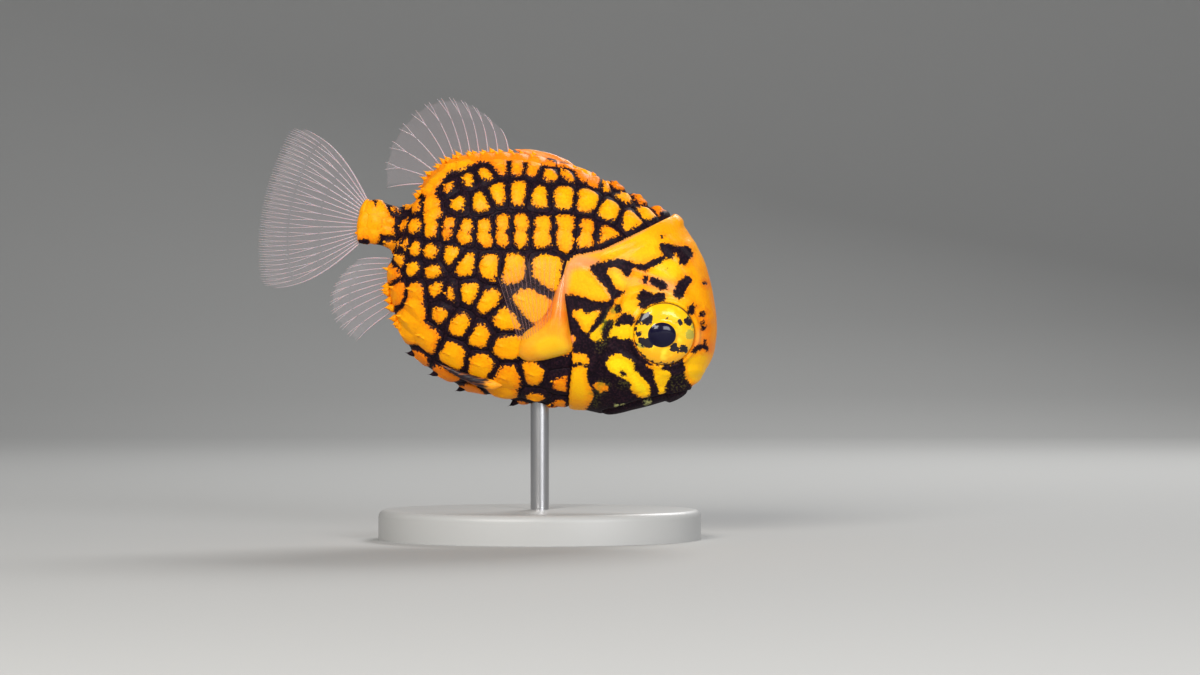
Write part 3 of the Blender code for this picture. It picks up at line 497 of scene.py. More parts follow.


# %% [markdown]
# ## The head's markings
# The black blotches of the head are irregular and their places are what makes this fish this fish,
# so each is traced on the photo. Yellow shapes that lie inside a black field are cut back out of
# it. Softer fields then say where the yellow turns to lemon, to orange, to a pinkish film along the
# gill edge and the snout, and to the greenish tint round the mouth. One lemon field on the brow is a
# painted highlight.

# %% Black blotches
BLACK_AREAS = (
    ((657.5, 247), (663.5, 246), (674.5, 248.5), (684.5, 248), (688.5, 251), (691.5, 255),
     (689.5, 258), (687, 258), (687.5, 261.5), (683.5, 266.5), (678, 264), (679, 259.5),
     (674, 254.5), (671, 256), (670, 260.5), (665, 259.5), (661, 254.5)),
    ((589.5, 269.5), (596, 267), (603, 265), (611.5, 263), (620, 261.5), (626, 264), (638, 266),
     (644.5, 265), (651, 263), (658, 259), (662.5, 258), (663.5, 260.5), (659.5, 263.5),
     (653, 267), (648, 269), (644.5, 272.5), (638, 271.5), (631, 269.5), (630, 273),
     (627.5, 277.5), (624, 276.5), (622.5, 273), (618.5, 269), (613, 268), (609.5, 270),
     (607, 274.5), (601.5, 278.5), (596, 276)),
    ((589.5, 269.5), (601.5, 267.5), (610, 269), (607.5, 274.5), (611.5, 284), (616.5, 291.5),
     (624, 292), (623.5, 293.5), (618.5, 296.5), (615, 299.5), (611.5, 297), (607.5, 290),
     (601.5, 283), (596, 276.5)),
    ((641, 281.5), (644, 277), (647, 278.5), (646, 284), (643, 284)),
    ((648, 280.5), (652.5, 279), (658, 281.5), (663.5, 285.5), (666, 288), (664.5, 290.5),
     (659.5, 290), (653.5, 287), (649.5, 284)),
    ((685, 276.5), (689, 278.5), (689, 283), (686, 287), (681.5, 295.5), (678, 299),
     (674, 297.5), (672, 293.5), (674, 288.5), (678, 283)),
    ((634.5, 298), (639, 292), (641.5, 291), (646, 293.5), (649, 294.5), (652.5, 297),
     (656.5, 294.5), (661, 293.5), (664, 297), (663.5, 300.5), (658.5, 301.5), (652.5, 302.5),
     (646.5, 306), (643, 309.5), (640.5, 309), (638, 305), (639.5, 301)),
    ((618.5, 317), (623, 313.5), (630, 315.5), (633, 318), (632, 323.5), (630, 326.5),
     (624, 325), (617, 325.5), (615, 323.5)),
    ((563, 295), (568, 297), (572.5, 295.5), (582, 299), (596, 303), (607.5, 303), (611.5, 298),
     (616, 297), (613, 302.5), (610, 309), (606, 316.5), (600.5, 325), (594.5, 330.5),
     (590.5, 334.5), (586.5, 340.5), (578, 340.5), (573.5, 337.5), (570, 326.5), (566.5, 312.5),
     (564, 302.5)),
    ((573, 340.5), (575, 337.5), (586.5, 338), (599, 340.5), (602.5, 341.5), (607.5, 334.5),
     (618.5, 338), (631.4, 338), (632.8, 344.8), (635.8, 351.2), (641, 357.3), (648.6, 361.9),
     (655.3, 364.2), (663, 364.7), (671.6, 363), (678.2, 359.3), (682, 358), (682, 376),
     (689, 384), (690, 392), (673.5, 404), (663.5, 404), (646.5, 412), (630, 416), (613, 420),
     (601.5, 424), (586, 416), (588, 404), (594.5, 397), (594, 389), (588.5, 378), (587.5, 368),
     (590.5, 364), (590.5, 358.5), (586.5, 353.5), (580.5, 351.5), (573, 351)),
    ((600.5, 341), (602.3, 333), (604.8, 326.5), (607.5, 321.5), (611, 319.5), (613, 321.5),
     (611, 328), (608, 333.5), (606.5, 338)),
    ((615, 309), (617, 306), (620, 306), (621.5, 309.5), (619, 313.5), (615.8, 312.5)),
    ((686, 308), (691, 304.5), (692.5, 312.5), (687.5, 315), (684.5, 312.5)),
    ((697, 312.5), (702, 312.5), (700.5, 316.5), (698, 316.5)),
    ((698.5, 322), (702, 321.5), (703.5, 329), (700, 331), (698, 327)),
    ((701.5, 338), (704, 340.5), (703.5, 346), (707.5, 347.5), (705.5, 351), (701.5, 348),
     (697, 349), (692.5, 353), (689, 351.5), (691, 347.5), (696, 344.5), (701.5, 345)),
)
# each stroke's width and points
BLACK_STROKES = ((3.4, ((573, 363.5), (580, 361.5), (588, 364.5))),
                 (5.8, ((622.6, 371.5), (623.2, 371.5))),
                 (2.6, ((660, 239), (660.5, 239))), (1.6, ((665.5, 270), (666, 270))),
                 (1.4, ((700.5, 284), (705.5, 283.5))), (2.2, ((655, 221), (660, 217))))
print("black blotches:", len(BLACK_AREAS) + len(BLACK_STROKES))

# %% Yellow islands in the black
YELLOW_AREAS = (
    ((572.5, 312.5), (582, 309.5), (583.5, 312.5), (587.5, 314), (597, 309.5), (601, 311),
     (599.5, 316.5), (592, 325), (587.5, 333.5), (585, 332), (578, 322), (573.5, 317)),
    ((607, 273.5), (610, 269), (616.5, 271), (621.5, 276.5), (624.5, 281.5), (625, 288.5),
     (621.5, 291.5), (617, 288.5), (613, 283), (609, 277.5)),
    ((604, 364), (607.5, 356.5), (618, 353), (625, 354.5), (630, 358.5), (633, 361.5),
     (632, 365.5), (638, 372), (644, 379), (649.5, 383.5), (648.5, 388.5), (644.5, 397),
     (638, 394.5), (630, 389.5), (629.5, 381.5), (625, 378), (618.5, 375), (610, 369.5)),
    ((644, 363), (652.5, 365.5), (661, 364), (659.5, 367.5), (667.5, 370), (668, 374),
     (665, 379), (663.5, 385), (664, 389.5), (661, 392), (657.5, 390.5), (655.5, 386),
     (654, 380.5), (652.5, 377), (653, 370.5)),
    ((594, 382), (600.5, 380), (606.5, 383.5), (608, 388), (603, 389.5), (601, 393),
     (598, 389.5), (595.5, 386.5)),
    ((590.5, 338), (592.5, 332), (600.8, 325), (604, 326), (601, 333), (598.3, 340.5),
     (595, 341.5)),
    ((608.8, 337), (611.2, 331), (616.5, 325.5), (631, 325.5), (632, 337), (624, 337.5),
     (618.5, 338.5), (613, 335.5)),
    ((569, 334), (572.5, 333.5), (577, 338), (575, 341.5), (570, 341)),
)
print("yellow islands:", len(YELLOW_AREAS))

# %% Lemon, pink and green fields
# each field's strength and outline
LEMON_AREAS = (
    (0.45, ((570, 272), (588, 272), (608, 292), (606, 301), (572, 293))),
    (0.55, ((604, 254), (640, 238), (664, 242), (656, 256), (626, 262), (606, 263))),
    (0.8, ((608, 275), (622, 276), (624, 290), (612, 284))),
    (2.0, ((604, 357), (632, 354), (650, 384), (644, 396), (626, 380), (606, 372))),
    (0.9, ((576, 313), (600, 311), (588, 331))),
    (0.9, ((618, 300), (634, 290), (650, 290), (680, 296), (690, 320), (640, 312), (626, 318))),
    (0.8, ((570, 356), (586, 354), (590, 372), (586, 396), (574, 390))),
    (1.3, ((588, 322), (634, 322), (634, 342), (588, 342))),
    (1.5, ((650, 364), (672, 366), (670, 392), (654, 392))),
    (1.1, ((682, 358), (700, 352), (710, 356), (706, 378), (694, 380), (684, 372))),
    # the last field is a painted highlight: lemon where the brow catches the light
    (1.5, ((652, 272), (656, 265), (666, 262), (675, 265), (672, 276), (664, 281), (657, 279))),
)
# from here on: each field's strength, its soft edge in pixels and its outline
PINK_AREAS = (
    (0.75, 4, ((562, 276), (568, 262), (575, 257), (587, 258), (602, 264), (590, 270),
               (572, 270), (569, 285), (567, 296), (562, 294))),
    (0.45, 7, ((644, 284), (660, 278), (676, 284), (672, 296), (660, 296))),
    (0.22, 3, ((706, 290), (716, 306), (724, 332), (720, 360), (708, 380), (709, 368), (714, 345),
               (713, 318))),
    (0.35, 5, ((694, 330), (700, 330), (698, 346), (692, 346))),
)
GREEN_AREAS = (
    (0.7, 3, ((598, 378), (610, 378), (611, 389), (600, 396), (594, 390))),
    (0.6, 3, ((615, 379), (629, 379), (628, 388), (616, 388))),
    (0.7, 3, ((666, 377), (684, 370), (685, 383), (668, 388))),
    (0.9, 3, ((606, 312), (620, 304), (616, 318), (600, 336), (592, 344), (598, 326))),
    (0.7, 4, ((594, 338), (608, 334), (606, 348), (596, 352))),
    (0.9, 4, ((588, 388), (598, 390), (600, 406), (590, 404))),
)
print("soft fields:", len(LEMON_AREAS) + len(PINK_AREAS) + len(GREEN_AREAS))

# %% Spots on the jaw and on the trunk
# the first two are the jaw's pale light organs; the third, a smear along the jaw, is a painted glint
JAW_SPOTS = (((619.5, 402), (623, 400.5), (626, 403), (624, 405.5), (620, 405)),
             ((614.5, 401.5), (616.5, 400), (618.5, 403), (617, 405), (614.5, 404.5)),
             ((643, 401.6), (646.5, 400), (651, 398.6), (651.8, 399.8), (648, 401.6), (644.5, 402.8)))
TRUNK_SPOTS = ((3.4, ((375, 201), (377, 204.5))), (5.4, ((362, 241.5), (367, 241))),
               (3.0, ((549, 161.5), (556, 165))), (3.4, ((560.5, 163), (567, 165.5))))


def spots_at(points):
    """How deep each point lies inside the dark spots by the tail fin and the folded spines."""
    x, y = to_photo(points)
    return deepest(-to_stroke(x, y, line, width) for width, line in TRUNK_SPOTS)


# %% Reading the markings
BLACK_GROWN = 0.8              # cutting the corners shrinks the blotches by this many pixels
TRUNK_WARMER = 0.10            # the trunk is this much nearer to orange than its rows say
# the black band along the gill's edge is painted shade under the overhanging gill cover
GILL_SHADE, GILL_SHADE_GROWS = 3.4, 3.2   # the black band along the gill's edge, in pixels


def head_marks(x, y):
    """How deep each pixel of the head lies inside the black, in pixels."""
    dark = deepest(BLACK_GROWN - to_area(x, y, corners, 1) for corners in BLACK_AREAS)
    for corners in YELLOW_AREAS:
        dark = np.minimum(dark, to_area(x, y, corners, 1))
    strokes = deepest(-to_stroke(x, y, points, width) for width, points in BLACK_STROKES)
    return np.maximum(dark, strokes)


def soft_areas(x, y, areas):
    """How strong a field of soft outlines is at each pixel."""
    return np.max([strength * ease(-to_area(x, y, corners), -soft, soft)
                   for strength, soft, corners in areas], axis=0)


def gill_shadow(ahead, y):
    """Black along the gill's edge, painted shade under the gill cover, a broader band above than below,
    in pixels.
    """
    return GILL_SHADE + GILL_SHADE_GROWS * ease(-y, -272, -254) + ahead


def trunk_marks(points):
    """How deep each point of the trunk lies inside the black net, in pixels, and its warmth."""
    nearest = ((points[:, None, :] - ALL_SITES[None, :, :]) ** 2).sum(2).argmin(1)
    flipped = nearest >= len(SITES)
    own_side = np.where(flipped[:, None], points * MIRROR, points)
    nearest %= len(SITES)
    dark, warm = np.zeros(len(points)), np.zeros(len(points))
    for i in np.unique(nearest):
        mine = nearest == i
        dark[mine] = -patch_of(own_side[mine], i) / PX
        warm[mine] = FACTS[i].warm + TRUNK_WARMER
    return np.maximum(dark, spots_at(points)), warm


# %% [markdown]
# ## A skin that remembers its markings
# A real skin carries its own pigment, and this one does too: each point of the mesh keeps a few
# numbers under plain names, such as how deep it lies in the black. The shader reads them back, so
# no picture has to be laid over the fish. The relief comes first. It fades out towards the middle
# line, because the side view is stretched there.

# %% Meshes and their notes
def read_mesh(values, name):
    """Three numbers a point of a mesh's vertices or normals, as an array."""
    flat = np.empty(len(values) * 3)
    values.foreach_get(name, flat)
    return flat.reshape(-1, 3)


def coordinates(mesh):
    """Every point of a mesh as an array."""
    return read_mesh(mesh.vertices, "co")


def note(mesh, **fields):
    """Keeps one value a point under each field's name, for the shaders."""
    for name, values in fields.items():
        layer = mesh.attributes.new(name, "FLOAT", "POINT")
        layer.data.foreach_set("value", np.full(len(mesh.vertices), values, dtype=np.float32))


def depth(values):
    """Depths cut off where they all look the same."""
    return np.clip(values, -FAR_OFF, FAR_OFF)


def as_mesh(bm, name):
    """A bmesh turned into a mesh, and freed."""
    mesh = bpy.data.meshes.new(name)
    bm.to_mesh(mesh)
    bm.free()
    return mesh


def set_points(mesh, points):
    """Moves every point of a mesh."""
    mesh.vertices.foreach_set("co", np.ascontiguousarray(points, dtype=np.float32).ravel())
    mesh.update()


# %% The skin's relief
CREST_SHARE = 0.25             # how much of the relief is left on the middle line
skin = as_mesh(body, "skin")
base = coordinates(skin)
x, y = to_photo(base)
height, ahead = head_relief(x, y)
off_middle = ease(np.abs(base[:, 1]), 0.0, 0.9 * MM)
height *= CREST_SHARE + (1 - CREST_SHARE) * off_middle
for centre, radius, rise in CRESTS:
    crest = ease(-to_spot(x, y, centre, radius), 0, radius * 0.6)
    height += rise * MM * crest * (1 - 0.6 * off_middle)
set_points(skin, base + read_mesh(skin.vertex_normals, "vector") * height[:, None])
print("relief from", round(height.min() / MM, 2), "to", round(height.max() / MM, 2), "mm")

# %% The skin's markings
HEAD_WARM = 0.62               # the head's yellow, before lemon takes away and the forehead adds
on_head = ahead > 0
dark, warm = np.zeros(len(base)), np.zeros(len(base))
dark[on_head] = head_marks(x[on_head], y[on_head])
dark[~on_head], warm[~on_head] = trunk_marks(base[~on_head])
# the trunk gets painted shade, black, in the strip under the gill's edge
dark[~on_head] = np.maximum(dark, gill_shadow(ahead, y))[~on_head]
lemon = np.max([strength * ease(-to_area(x, y, corners), -9, 5)
                for strength, corners in LEMON_AREAS], axis=0)
forehead = ease(x + (y - 300) * 0.12, 686, 716)
warm[on_head] = (HEAD_WARM - 0.55 * lemon + 0.25 * forehead)[on_head]
edge_above = ease(-x, -652, -636) * ease(x, 566, 572) * ease(-y, -352, -338)
pale_edge = 0.7 * ease(-ahead, -3.2, -1.6) * edge_above
note(skin, dark=depth(dark), warm=np.clip(warm, -1, 1),
     pink=np.maximum(soft_areas(x, y, PINK_AREAS), pale_edge) * on_head,
     green=soft_areas(x, y, GREEN_AREAS) * on_head,
     organ=depth(deepest(-to_area(x, y, corners) for corners in JAW_SPOTS)))
print("skin marked:", int((dark > 0).sum()), "dark points of", len(dark))

# %% [markdown]
# ## One paint for skin and scutes
# The yellow and the black are in the same living layer over skin and bone, so one node group paints
# both. It reads the distance to the black and breaks the edge up with two noises: a fine one for
# the granules that make every patch look serrated, and a broad one for its uneven outline. Each
# patch is lemon in its middle and orange at its margin.

# %% Short names for nodes
def add_node(tree, kind, inputs=None, **settings):
    """A node with its settings, and its inputs as values or as other nodes' outputs."""
    made = tree.nodes.new(kind)
    for name, value in settings.items():
        setattr(made, name, value)
    for name, value in (inputs or {}).items():
        if isinstance(value, bpy.types.NodeSocket):
            tree.links.new(value, made.inputs[name])
        else:
            made.inputs[name].default_value = value
    return made


def maths(tree, operation, first, second, third=0.0):
    """What a maths node makes of two values, or of three for MULTIPLY_ADD."""
    inputs = {0: first, 1: second}
    if operation == "MULTIPLY_ADD":
        inputs[2] = third
    return add_node(tree, "ShaderNodeMath", inputs, operation=operation).outputs[0]


def mixed(tree, share, first, second):
    """Colour first where share is 0, and second where it is 1."""
    inputs = {0: share, 6: first, 7: second}
    return add_node(tree, "ShaderNodeMix", inputs, data_type="RGBA").outputs[2]


def step(tree, value, low, high):
    """0 where the value is below low and 1 above high, with a smooth rise between."""
    inputs = {"Value": value, "From Min": low, "From Max": high}
    made = add_node(tree, "ShaderNodeMapRange", inputs, interpolation_type="SMOOTHSTEP")
    return made.outputs["Result"]


def noise(tree, vector, scale, detail=2.0, rough=0.5):
    """A noise texture's value, about 0.5 on average."""
    inputs = {"Vector": vector, "Scale": scale, "Detail": detail, "Roughness": rough}
    return add_node(tree, "ShaderNodeTexNoise", inputs).outputs[0]


def swing(tree, vector, scale, detail=2.0, rough=0.5):
    """Noise that swings about 0."""
    return maths(tree, "SUBTRACT", noise(tree, vector, scale, detail, rough), 0.5)


def place_in(tree):
    """Where on the object each point lies."""
    return add_node(tree, "ShaderNodeTexCoord").outputs["Object"]


def noted(tree, name):
    """A value that the mesh keeps under that name."""
    return add_node(tree, "ShaderNodeAttribute", attribute_name=name).outputs["Fac"]


def new_group(name, inputs, outputs):
    """An empty node group with named sockets: its tree, its input node and its output node."""
    group = bpy.data.node_groups.new(name, "ShaderNodeTree")
    for direction, sockets in (("INPUT", inputs), ("OUTPUT", outputs)):
        for socket, kind in sockets:
            group.interface.new_socket(socket, in_out=direction, socket_type=kind)
    return group, group.nodes.new("NodeGroupInput"), group.nodes.new("NodeGroupOutput")


# %% The paint as a node group
FLOAT, COLOUR = "NodeSocketFloat", "NodeSocketColor"
BRIGHT = (0.98, 0.70, 0.006, 1)
LEMON, YELLOW, ORANGE = (0.98, 0.51, 0.002, 1), (0.97, 0.37, 0.001, 1), (0.88, 0.21, 0.002, 1)
BLACK, PLUM = (0.007, 0.003, 0.007, 1), (0.024, 0.008, 0.014, 1)
FILM, OLIVE = (0.66, 0.27, 0.14, 1), (0.20, 0.22, 0.010, 1)
GRAIN_SCALE, BROAD_SCALE, TONE_SCALE = 5200.0, 1050.0, 420.0


def paint_group():
    """Yellow, orange and black from depths and tints, with the black's share and the relief."""
    tree, given, out = new_group(
        "Pinecone paint",
        (("Dark", FLOAT), ("Warm", FLOAT), ("Pink", FLOAT), ("Green", FLOAT), ("Grain", FLOAT)),
        (("Color", COLOUR), ("Black", FLOAT), ("Height", FLOAT)))
    at = place_in(tree)
    fine = swing(tree, at, GRAIN_SCALE, 3.0, 0.6)
    broad = swing(tree, at, BROAD_SCALE)
    tone = swing(tree, at, TONE_SCALE)
    wander = maths(tree, "MULTIPLY_ADD", broad, 5.0, given.outputs["Dark"])
    serration = maths(tree, "MULTIPLY", fine, given.outputs["Grain"])
    edge = maths(tree, "ADD", wander, serration)
    black = step(tree, edge, -0.70, 0.80)
    # Lemon deep inside a patch, orange toward its margin and wherever the place is warm.
    margin = step(tree, edge, -6.5, -0.5)
    warmth = maths(tree, "MULTIPLY_ADD", margin, 0.34, given.outputs["Warm"])
    warmth = maths(tree, "MULTIPLY_ADD", tone, 0.7, warmth)
    warmth = maths(tree, "MULTIPLY_ADD", fine, 0.5, warmth)
    yellow = mixed(tree, step(tree, warmth, -0.60, 0.0), BRIGHT, LEMON)
    yellow = mixed(tree, step(tree, warmth, 0.05, 0.60), yellow, YELLOW)
    yellow = mixed(tree, step(tree, warmth, 0.50, 1.25), yellow, ORANGE)
    yellow = mixed(tree, maths(tree, "MULTIPLY", given.outputs["Pink"], 0.9), yellow, FILM)
    greenish = maths(tree, "MULTIPLY", given.outputs["Green"], step(tree, broad, -0.12, 0.10))
    yellow = mixed(tree, maths(tree, "MULTIPLY", greenish, step(tree, edge, -7.0, -1.0)), yellow, OLIVE)
    plum = mixed(tree, step(tree, fine, -0.05, 0.16), BLACK, PLUM)
    mottle = maths(tree, "MULTIPLY", given.outputs["Green"], step(tree, fine, -0.02, 0.20))
    plum = mixed(tree, maths(tree, "MULTIPLY", mottle, 0.45), plum, OLIVE)
    tree.links.new(mixed(tree, black, yellow, plum), out.inputs["Color"])
    tree.links.new(black, out.inputs["Black"])
    # The yellow stands a hair above the black, and fine granules cover both.
    raised = maths(tree, "MULTIPLY_ADD", fine, 0.55, maths(tree, "MULTIPLY", black, -0.6))
    tree.links.new(maths(tree, "ADD", raised, maths(tree, "MULTIPLY", broad, 0.5)),
                   out.inputs["Height"])
    return tree


PAINT = paint_group()
print("the paint has", len(PAINT.nodes), "nodes")

# %% Materials
def new_material(name, **sockets):
    """A material, its node tree and its Principled shader, with the shader's constant values set."""
    made = bpy.data.materials.new(name)
    made.use_nodes = True
    shader = made.node_tree.nodes["Principled BSDF"]
    for socket, value in sockets.items():
        shader.inputs[socket.replace("_", " ")].default_value = value
    return made, made.node_tree, shader


def plain(name, **sockets):
    """A material of constant values alone."""
    return new_material(name, **sockets)[0]


def bumped(tree, shader, height, distance, strength=1.0):
    """Raises a shader's surface by a height that is 0 to 1, times a distance in metres."""
    inputs = {"Height": height, "Distance": distance, "Strength": strength}
    normal = add_node(tree, "ShaderNodeBump", inputs).outputs["Normal"]
    tree.links.new(normal, shader.inputs["Normal"])


BUMP = 0.07 * MM               # how deep the paint's own relief is
# the pale of the jaw's light organs, also used for the painted glint beside them
ORGAN_AND_GLINT_PALE = (0.42, 0.42, 0.16, 1)


def painted(name, grain, gloss, coat_rough, organ=False):
    """The paint on its own piece. If asked, it adds the lower jaw's pale light organs, which glow in
    life, and a painted glint along them.
    """
    made, tree, shader = new_material(name, Coat_Roughness=coat_rough, Specular_IOR_Level=0.08,
                                      Subsurface_Weight=0.08, Subsurface_Scale=0.6 * MM,
                                      Subsurface_Radius=(1.0, 0.45, 0.12))
    fields = {"Dark": noted(tree, "dark"), "Warm": noted(tree, "warm"), "Grain": grain,
              "Pink": noted(tree, "pink"), "Green": noted(tree, "green")}
    paint = add_node(tree, "ShaderNodeGroup", fields, node_tree=PAINT).outputs
    colour = paint["Color"]
    if organ:
        # pale light organs on the jaw, with a painted glint in the same field
        patchy = swing(tree, place_in(tree), GRAIN_SCALE, 3.0)
        spots = maths(tree, "MULTIPLY_ADD", patchy, 6.0, noted(tree, "organ"))
        colour = mixed(tree, step(tree, spots, -0.8, 1.4), colour, ORGAN_AND_GLINT_PALE)
    tree.links.new(colour, shader.inputs["Base Color"])
    coat = maths(tree, "MULTIPLY_ADD", paint["Black"], 0.02 - gloss, gloss)
    tree.links.new(coat, shader.inputs["Coat Weight"])
    rough = maths(tree, "MULTIPLY_ADD", paint["Black"], 0.14, 0.50)
    tree.links.new(rough, shader.inputs["Roughness"])
    bumped(tree, shader, paint["Height"], BUMP)
    return made


SKIN_PAINT = painted("skin_paint", 7.5, 0.14, 0.14, organ=True)
ARMOUR_PAINT = painted("armour_paint", 9.5, 0.05, 0.24)

# %% Putting a piece in the scene
def in_scene(name, data):
    """A new object in the scene."""
    made = bpy.data.objects.new(name, data)
    bpy.context.scene.collection.objects.link(made)
    return made


def add_piece(name, mesh, material, slot, replaced=()):
    """Puts a finished piece into the scene, riding on the model."""
    mesh.name = name
    mesh.materials.clear()
    mesh.materials.append(material)
    mesh.shade_smooth()
    piece = in_scene(name, mesh)
    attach(piece, "root")
    if replaced:
        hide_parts(*replaced)
    print(name, sum(len(face.vertices) - 2 for face in mesh.polygons), "triangles")


def finish_piece(name, mesh, *facts):
    """The same for a piece made in the fish's frame, which is tipped to the pose first."""
    set_points(mesh, placed(coordinates(mesh)))
    add_piece(name, mesh, *facts)


finish_piece("skin", skin, SKIN_PAINT, "head_bone", ("torso", "tail", "head", "lower_jaw"))

# %% [markdown]
# ## The scutes
# Each scute is a thin bony plate that follows the body, with a sloping rim, a low dome and a keel
# running back to a spine. One disc of rings and spokes is the pattern for all of them. Its spokes
# are stretched to the scute's own borders, half way to each neighbour, and every point is laid on
# the skin and raised. Where two scutes run together the rim stays high, so they read as one lobe.

# %% A scute's outline
SPOKES, RINGS = 36, 13
LOBE_LAP = 1.12                # scutes that run together overlap by this much
BORDER_POWER = 14              # how sharply a plate's outline turns its corners


def scute_borders(i, forward, upward):
    """How far scute i reaches along each spoke."""
    angles = np.linspace(0, 2 * math.pi, SPOKES, endpoint=False)
    spokes = np.stack((np.cos(angles), np.sin(angles)), axis=1)
    total = (1 / REACH) ** BORDER_POWER * np.ones(SPOKES)
    for other, netted in NEIGHBOURS[i]:
        gap = other - SITES[i]
        flat = np.array((gap @ forward, gap @ upward))
        size = np.linalg.norm(flat)
        if size > TOO_NEAR:
            toward = np.maximum(spokes @ flat / size, 1e-3)
            half_way = np.linalg.norm(gap) / 2 * (1.0 if netted else LOBE_LAP)
            total += (toward / half_way) ** BORDER_POWER
    return total ** (-1 / BORDER_POWER)


def skin_unwrap(points):
    """Where points of the right side lie on an unwrap of the body: girth across, station along."""
    t = np.linspace(0, LAST, 400)
    row = station(t)
    middle_along = (row[:, 0] + row[:, 2]) / 2
    along = np.interp(points[:, 0], middle_along, t)
    row = station(along)
    middle = (row[:, 1] + row[:, 3]) / 2
    high = np.where(points[:, 2] > middle, row[:, 1] - middle, middle - row[:, 3])
    turn = np.arccos(np.clip((points[:, 2] - middle) / high, -1, 1))
    return np.stack((turn / (2 * math.pi), (along + 1) / (LAST + 2)), axis=1)


# %% One plate
PLATE_RISE, DOME, KEEL = 0.05 * MM, 0.12 * MM, 0.09 * MM
# how high each group's dome is, and how steeply it falls off
DOMES = {"saddle": (0.7, 2), "edge": (0.9, 2), "rear": (1.3, 2), "nape": (2.3, 1.1)}
KEEL_WIDE, KEEL_START, KEEL_END = 0.10 * MM, -0.35 * MM, 0.25 * MM
KEELED = 0.15 * MM             # scutes with a longer spine than this have a keel
PAD_STEP, PAD_RIM = 0.07 * MM, (-0.05 * MM, 0.08 * MM)     # the yellow patch is a low pad
RIM_WIDTH = 0.26 * MM
PLATE_ROOT = 0.16 * MM         # how deep a plate's closed underside lies in the skin
TUCK = 0.30 * MM               # plates dip under the gill cover within this distance
RINGS_OUT = 0.85               # below 1 the rings lie closer together at the margin
OWN_WAY, SHARED_WAY = 0.6, 0.4     # a point rises partly off its own skin, partly as its plate faces


def plate_shape(u, v):
    """Each point's spoke and ring of the disc pattern, and its share of the way out."""
    spoke = np.round(u * SPOKES).astype(int) % SPOKES
    ring = np.round(v * RINGS).astype(int)
    share = np.minimum(ring / (RINGS - 2), 1.0)
    return spoke, ring, np.where(ring == RINGS, 0.0, share) ** RINGS_OUT


def plate_height(i, lowered, flat, share):
    """How high scute i stands over the skin at each point, before it tucks under the gill."""
    to_border = to_borders(lowered, i)
    height = PLATE_RISE * ease(to_border, 0, RIM_WIDTH) + PAD_STEP * ease(patch_of(lowered, i), *PAD_RIM)
    high, steep = DOMES.get(FACTS[i].group, (1.0, 2))
    dome = high * (1 - share ** 2) ** steep
    keel = hump(flat[:, 1], 0, KEEL_WIDE) * ease(-flat[:, 0], KEEL_START, KEEL_END)
    return height + dome * (DOME + KEEL * keel * (abs(FACTS[i].spine) > KEELED))


def plate_points(i, u, v):
    """Scute i's points, its depths in the black and its UVs, for a sheet's u and v."""
    facing = FACINGS[i]
    forward, upward = along_skin(facing)
    spoke, ring, share = plate_shape(u, v)
    angle = 2 * math.pi * spoke / SPOKES
    out = scute_borders(i, forward, upward)[spoke] * share
    flat = np.stack((np.cos(angle), np.sin(angle)), axis=1) * out[:, None]
    lowered, away = lay_on_skin(SITES[i] + flat[:, :1] * forward + flat[:, 1:] * upward)
    away = away * OWN_WAY + facing * SHARED_WAY
    away /= np.linalg.norm(away, axis=1)[:, None]

    x, y = to_photo(lowered)
    ahead = -to_area(x, y, HEAD_AREA, cuts=0) * PX
    height = plate_height(i, lowered, flat, share) * ease(-ahead, -0.1 * MM, TUCK)
    height -= TUCK * ease(ahead, -0.02 * MM, 0.2 * MM)
    height = np.where(ring >= RINGS - 1, -PLATE_ROOT, height)
    # and the same painted shade, black, under the gill's edge
    dark = np.maximum(-patch_of(lowered, i) / PX, gill_shadow(ahead / PX, y))
    unwrap = skin_unwrap(lowered)
    unwrap[ring == RINGS] = unwrap[ring == RINGS - 1]      # no room on the map for the underside
    return lowered + away * height[:, None], np.maximum(dark, spots_at(lowered)), unwrap


# %% All plates
bm, pattern_u, pattern_v = new_sheet(SPOKES, RINGS)
PATTERN = as_mesh(bm, "disc_pattern")
plates, darks, unwraps = map(np.concatenate, zip(*(
    plate_points(i, pattern_u, pattern_v) for i in range(len(SITES)))))
warms = np.repeat([fact.warm + TRUNK_WARMER for fact in FACTS], len(pattern_u))
print("plates a side:", len(SITES), "with", len(plates), "points")


def scute_piece(side):
    """All plates of the right side (1) or of the left (-1) as one mesh."""
    bm = bmesh.new()
    for _ in SITES:
        bm.from_mesh(PATTERN)
    mesh = as_mesh(bm, "scutes")
    set_points(mesh, plates * (1, side, 1))
    note(mesh, dark=depth(darks), warm=warms, pink=0.0, green=0.0)
    owners = np.empty(len(mesh.loops), dtype=np.int32)
    mesh.loops.foreach_get("vertex_index", owners)
    unwrap = unwraps[owners]
    if side < 0:
        unwrap[:, 0] = 1 - unwrap[:, 0]
    mesh.uv_layers["OFBake"].data.foreach_set("uv", unwrap.astype(np.float32).ravel())
    bm = bmesh.new()
    bm.from_mesh(mesh)
    bmesh.ops.remove_doubles(bm, verts=bm.verts, dist=SAME_PLACE)
    bmesh.ops.recalc_face_normals(bm, faces=bm.faces)
    bm.to_mesh(mesh)
    bm.free()
    return mesh


for side, name in ((1, "scutes_right"), (-1, "scutes_left")):
    finish_piece(name, scute_piece(side), ARMOUR_PAINT, "scute_armour")

# %% [markdown]
# ## Spines on the scutes
# A keel ends in a short spine that points to the tail. The spines are small on the flank, where the
# photo shows them only as glints, and long along the back, the rear edge and the belly. Each is one
# slim cone, bent back a little, and all of them are one piece.

# %% Tubes round a line
WHOLE_MAP = ((0.0, 0.0), (1.0, 1.0))


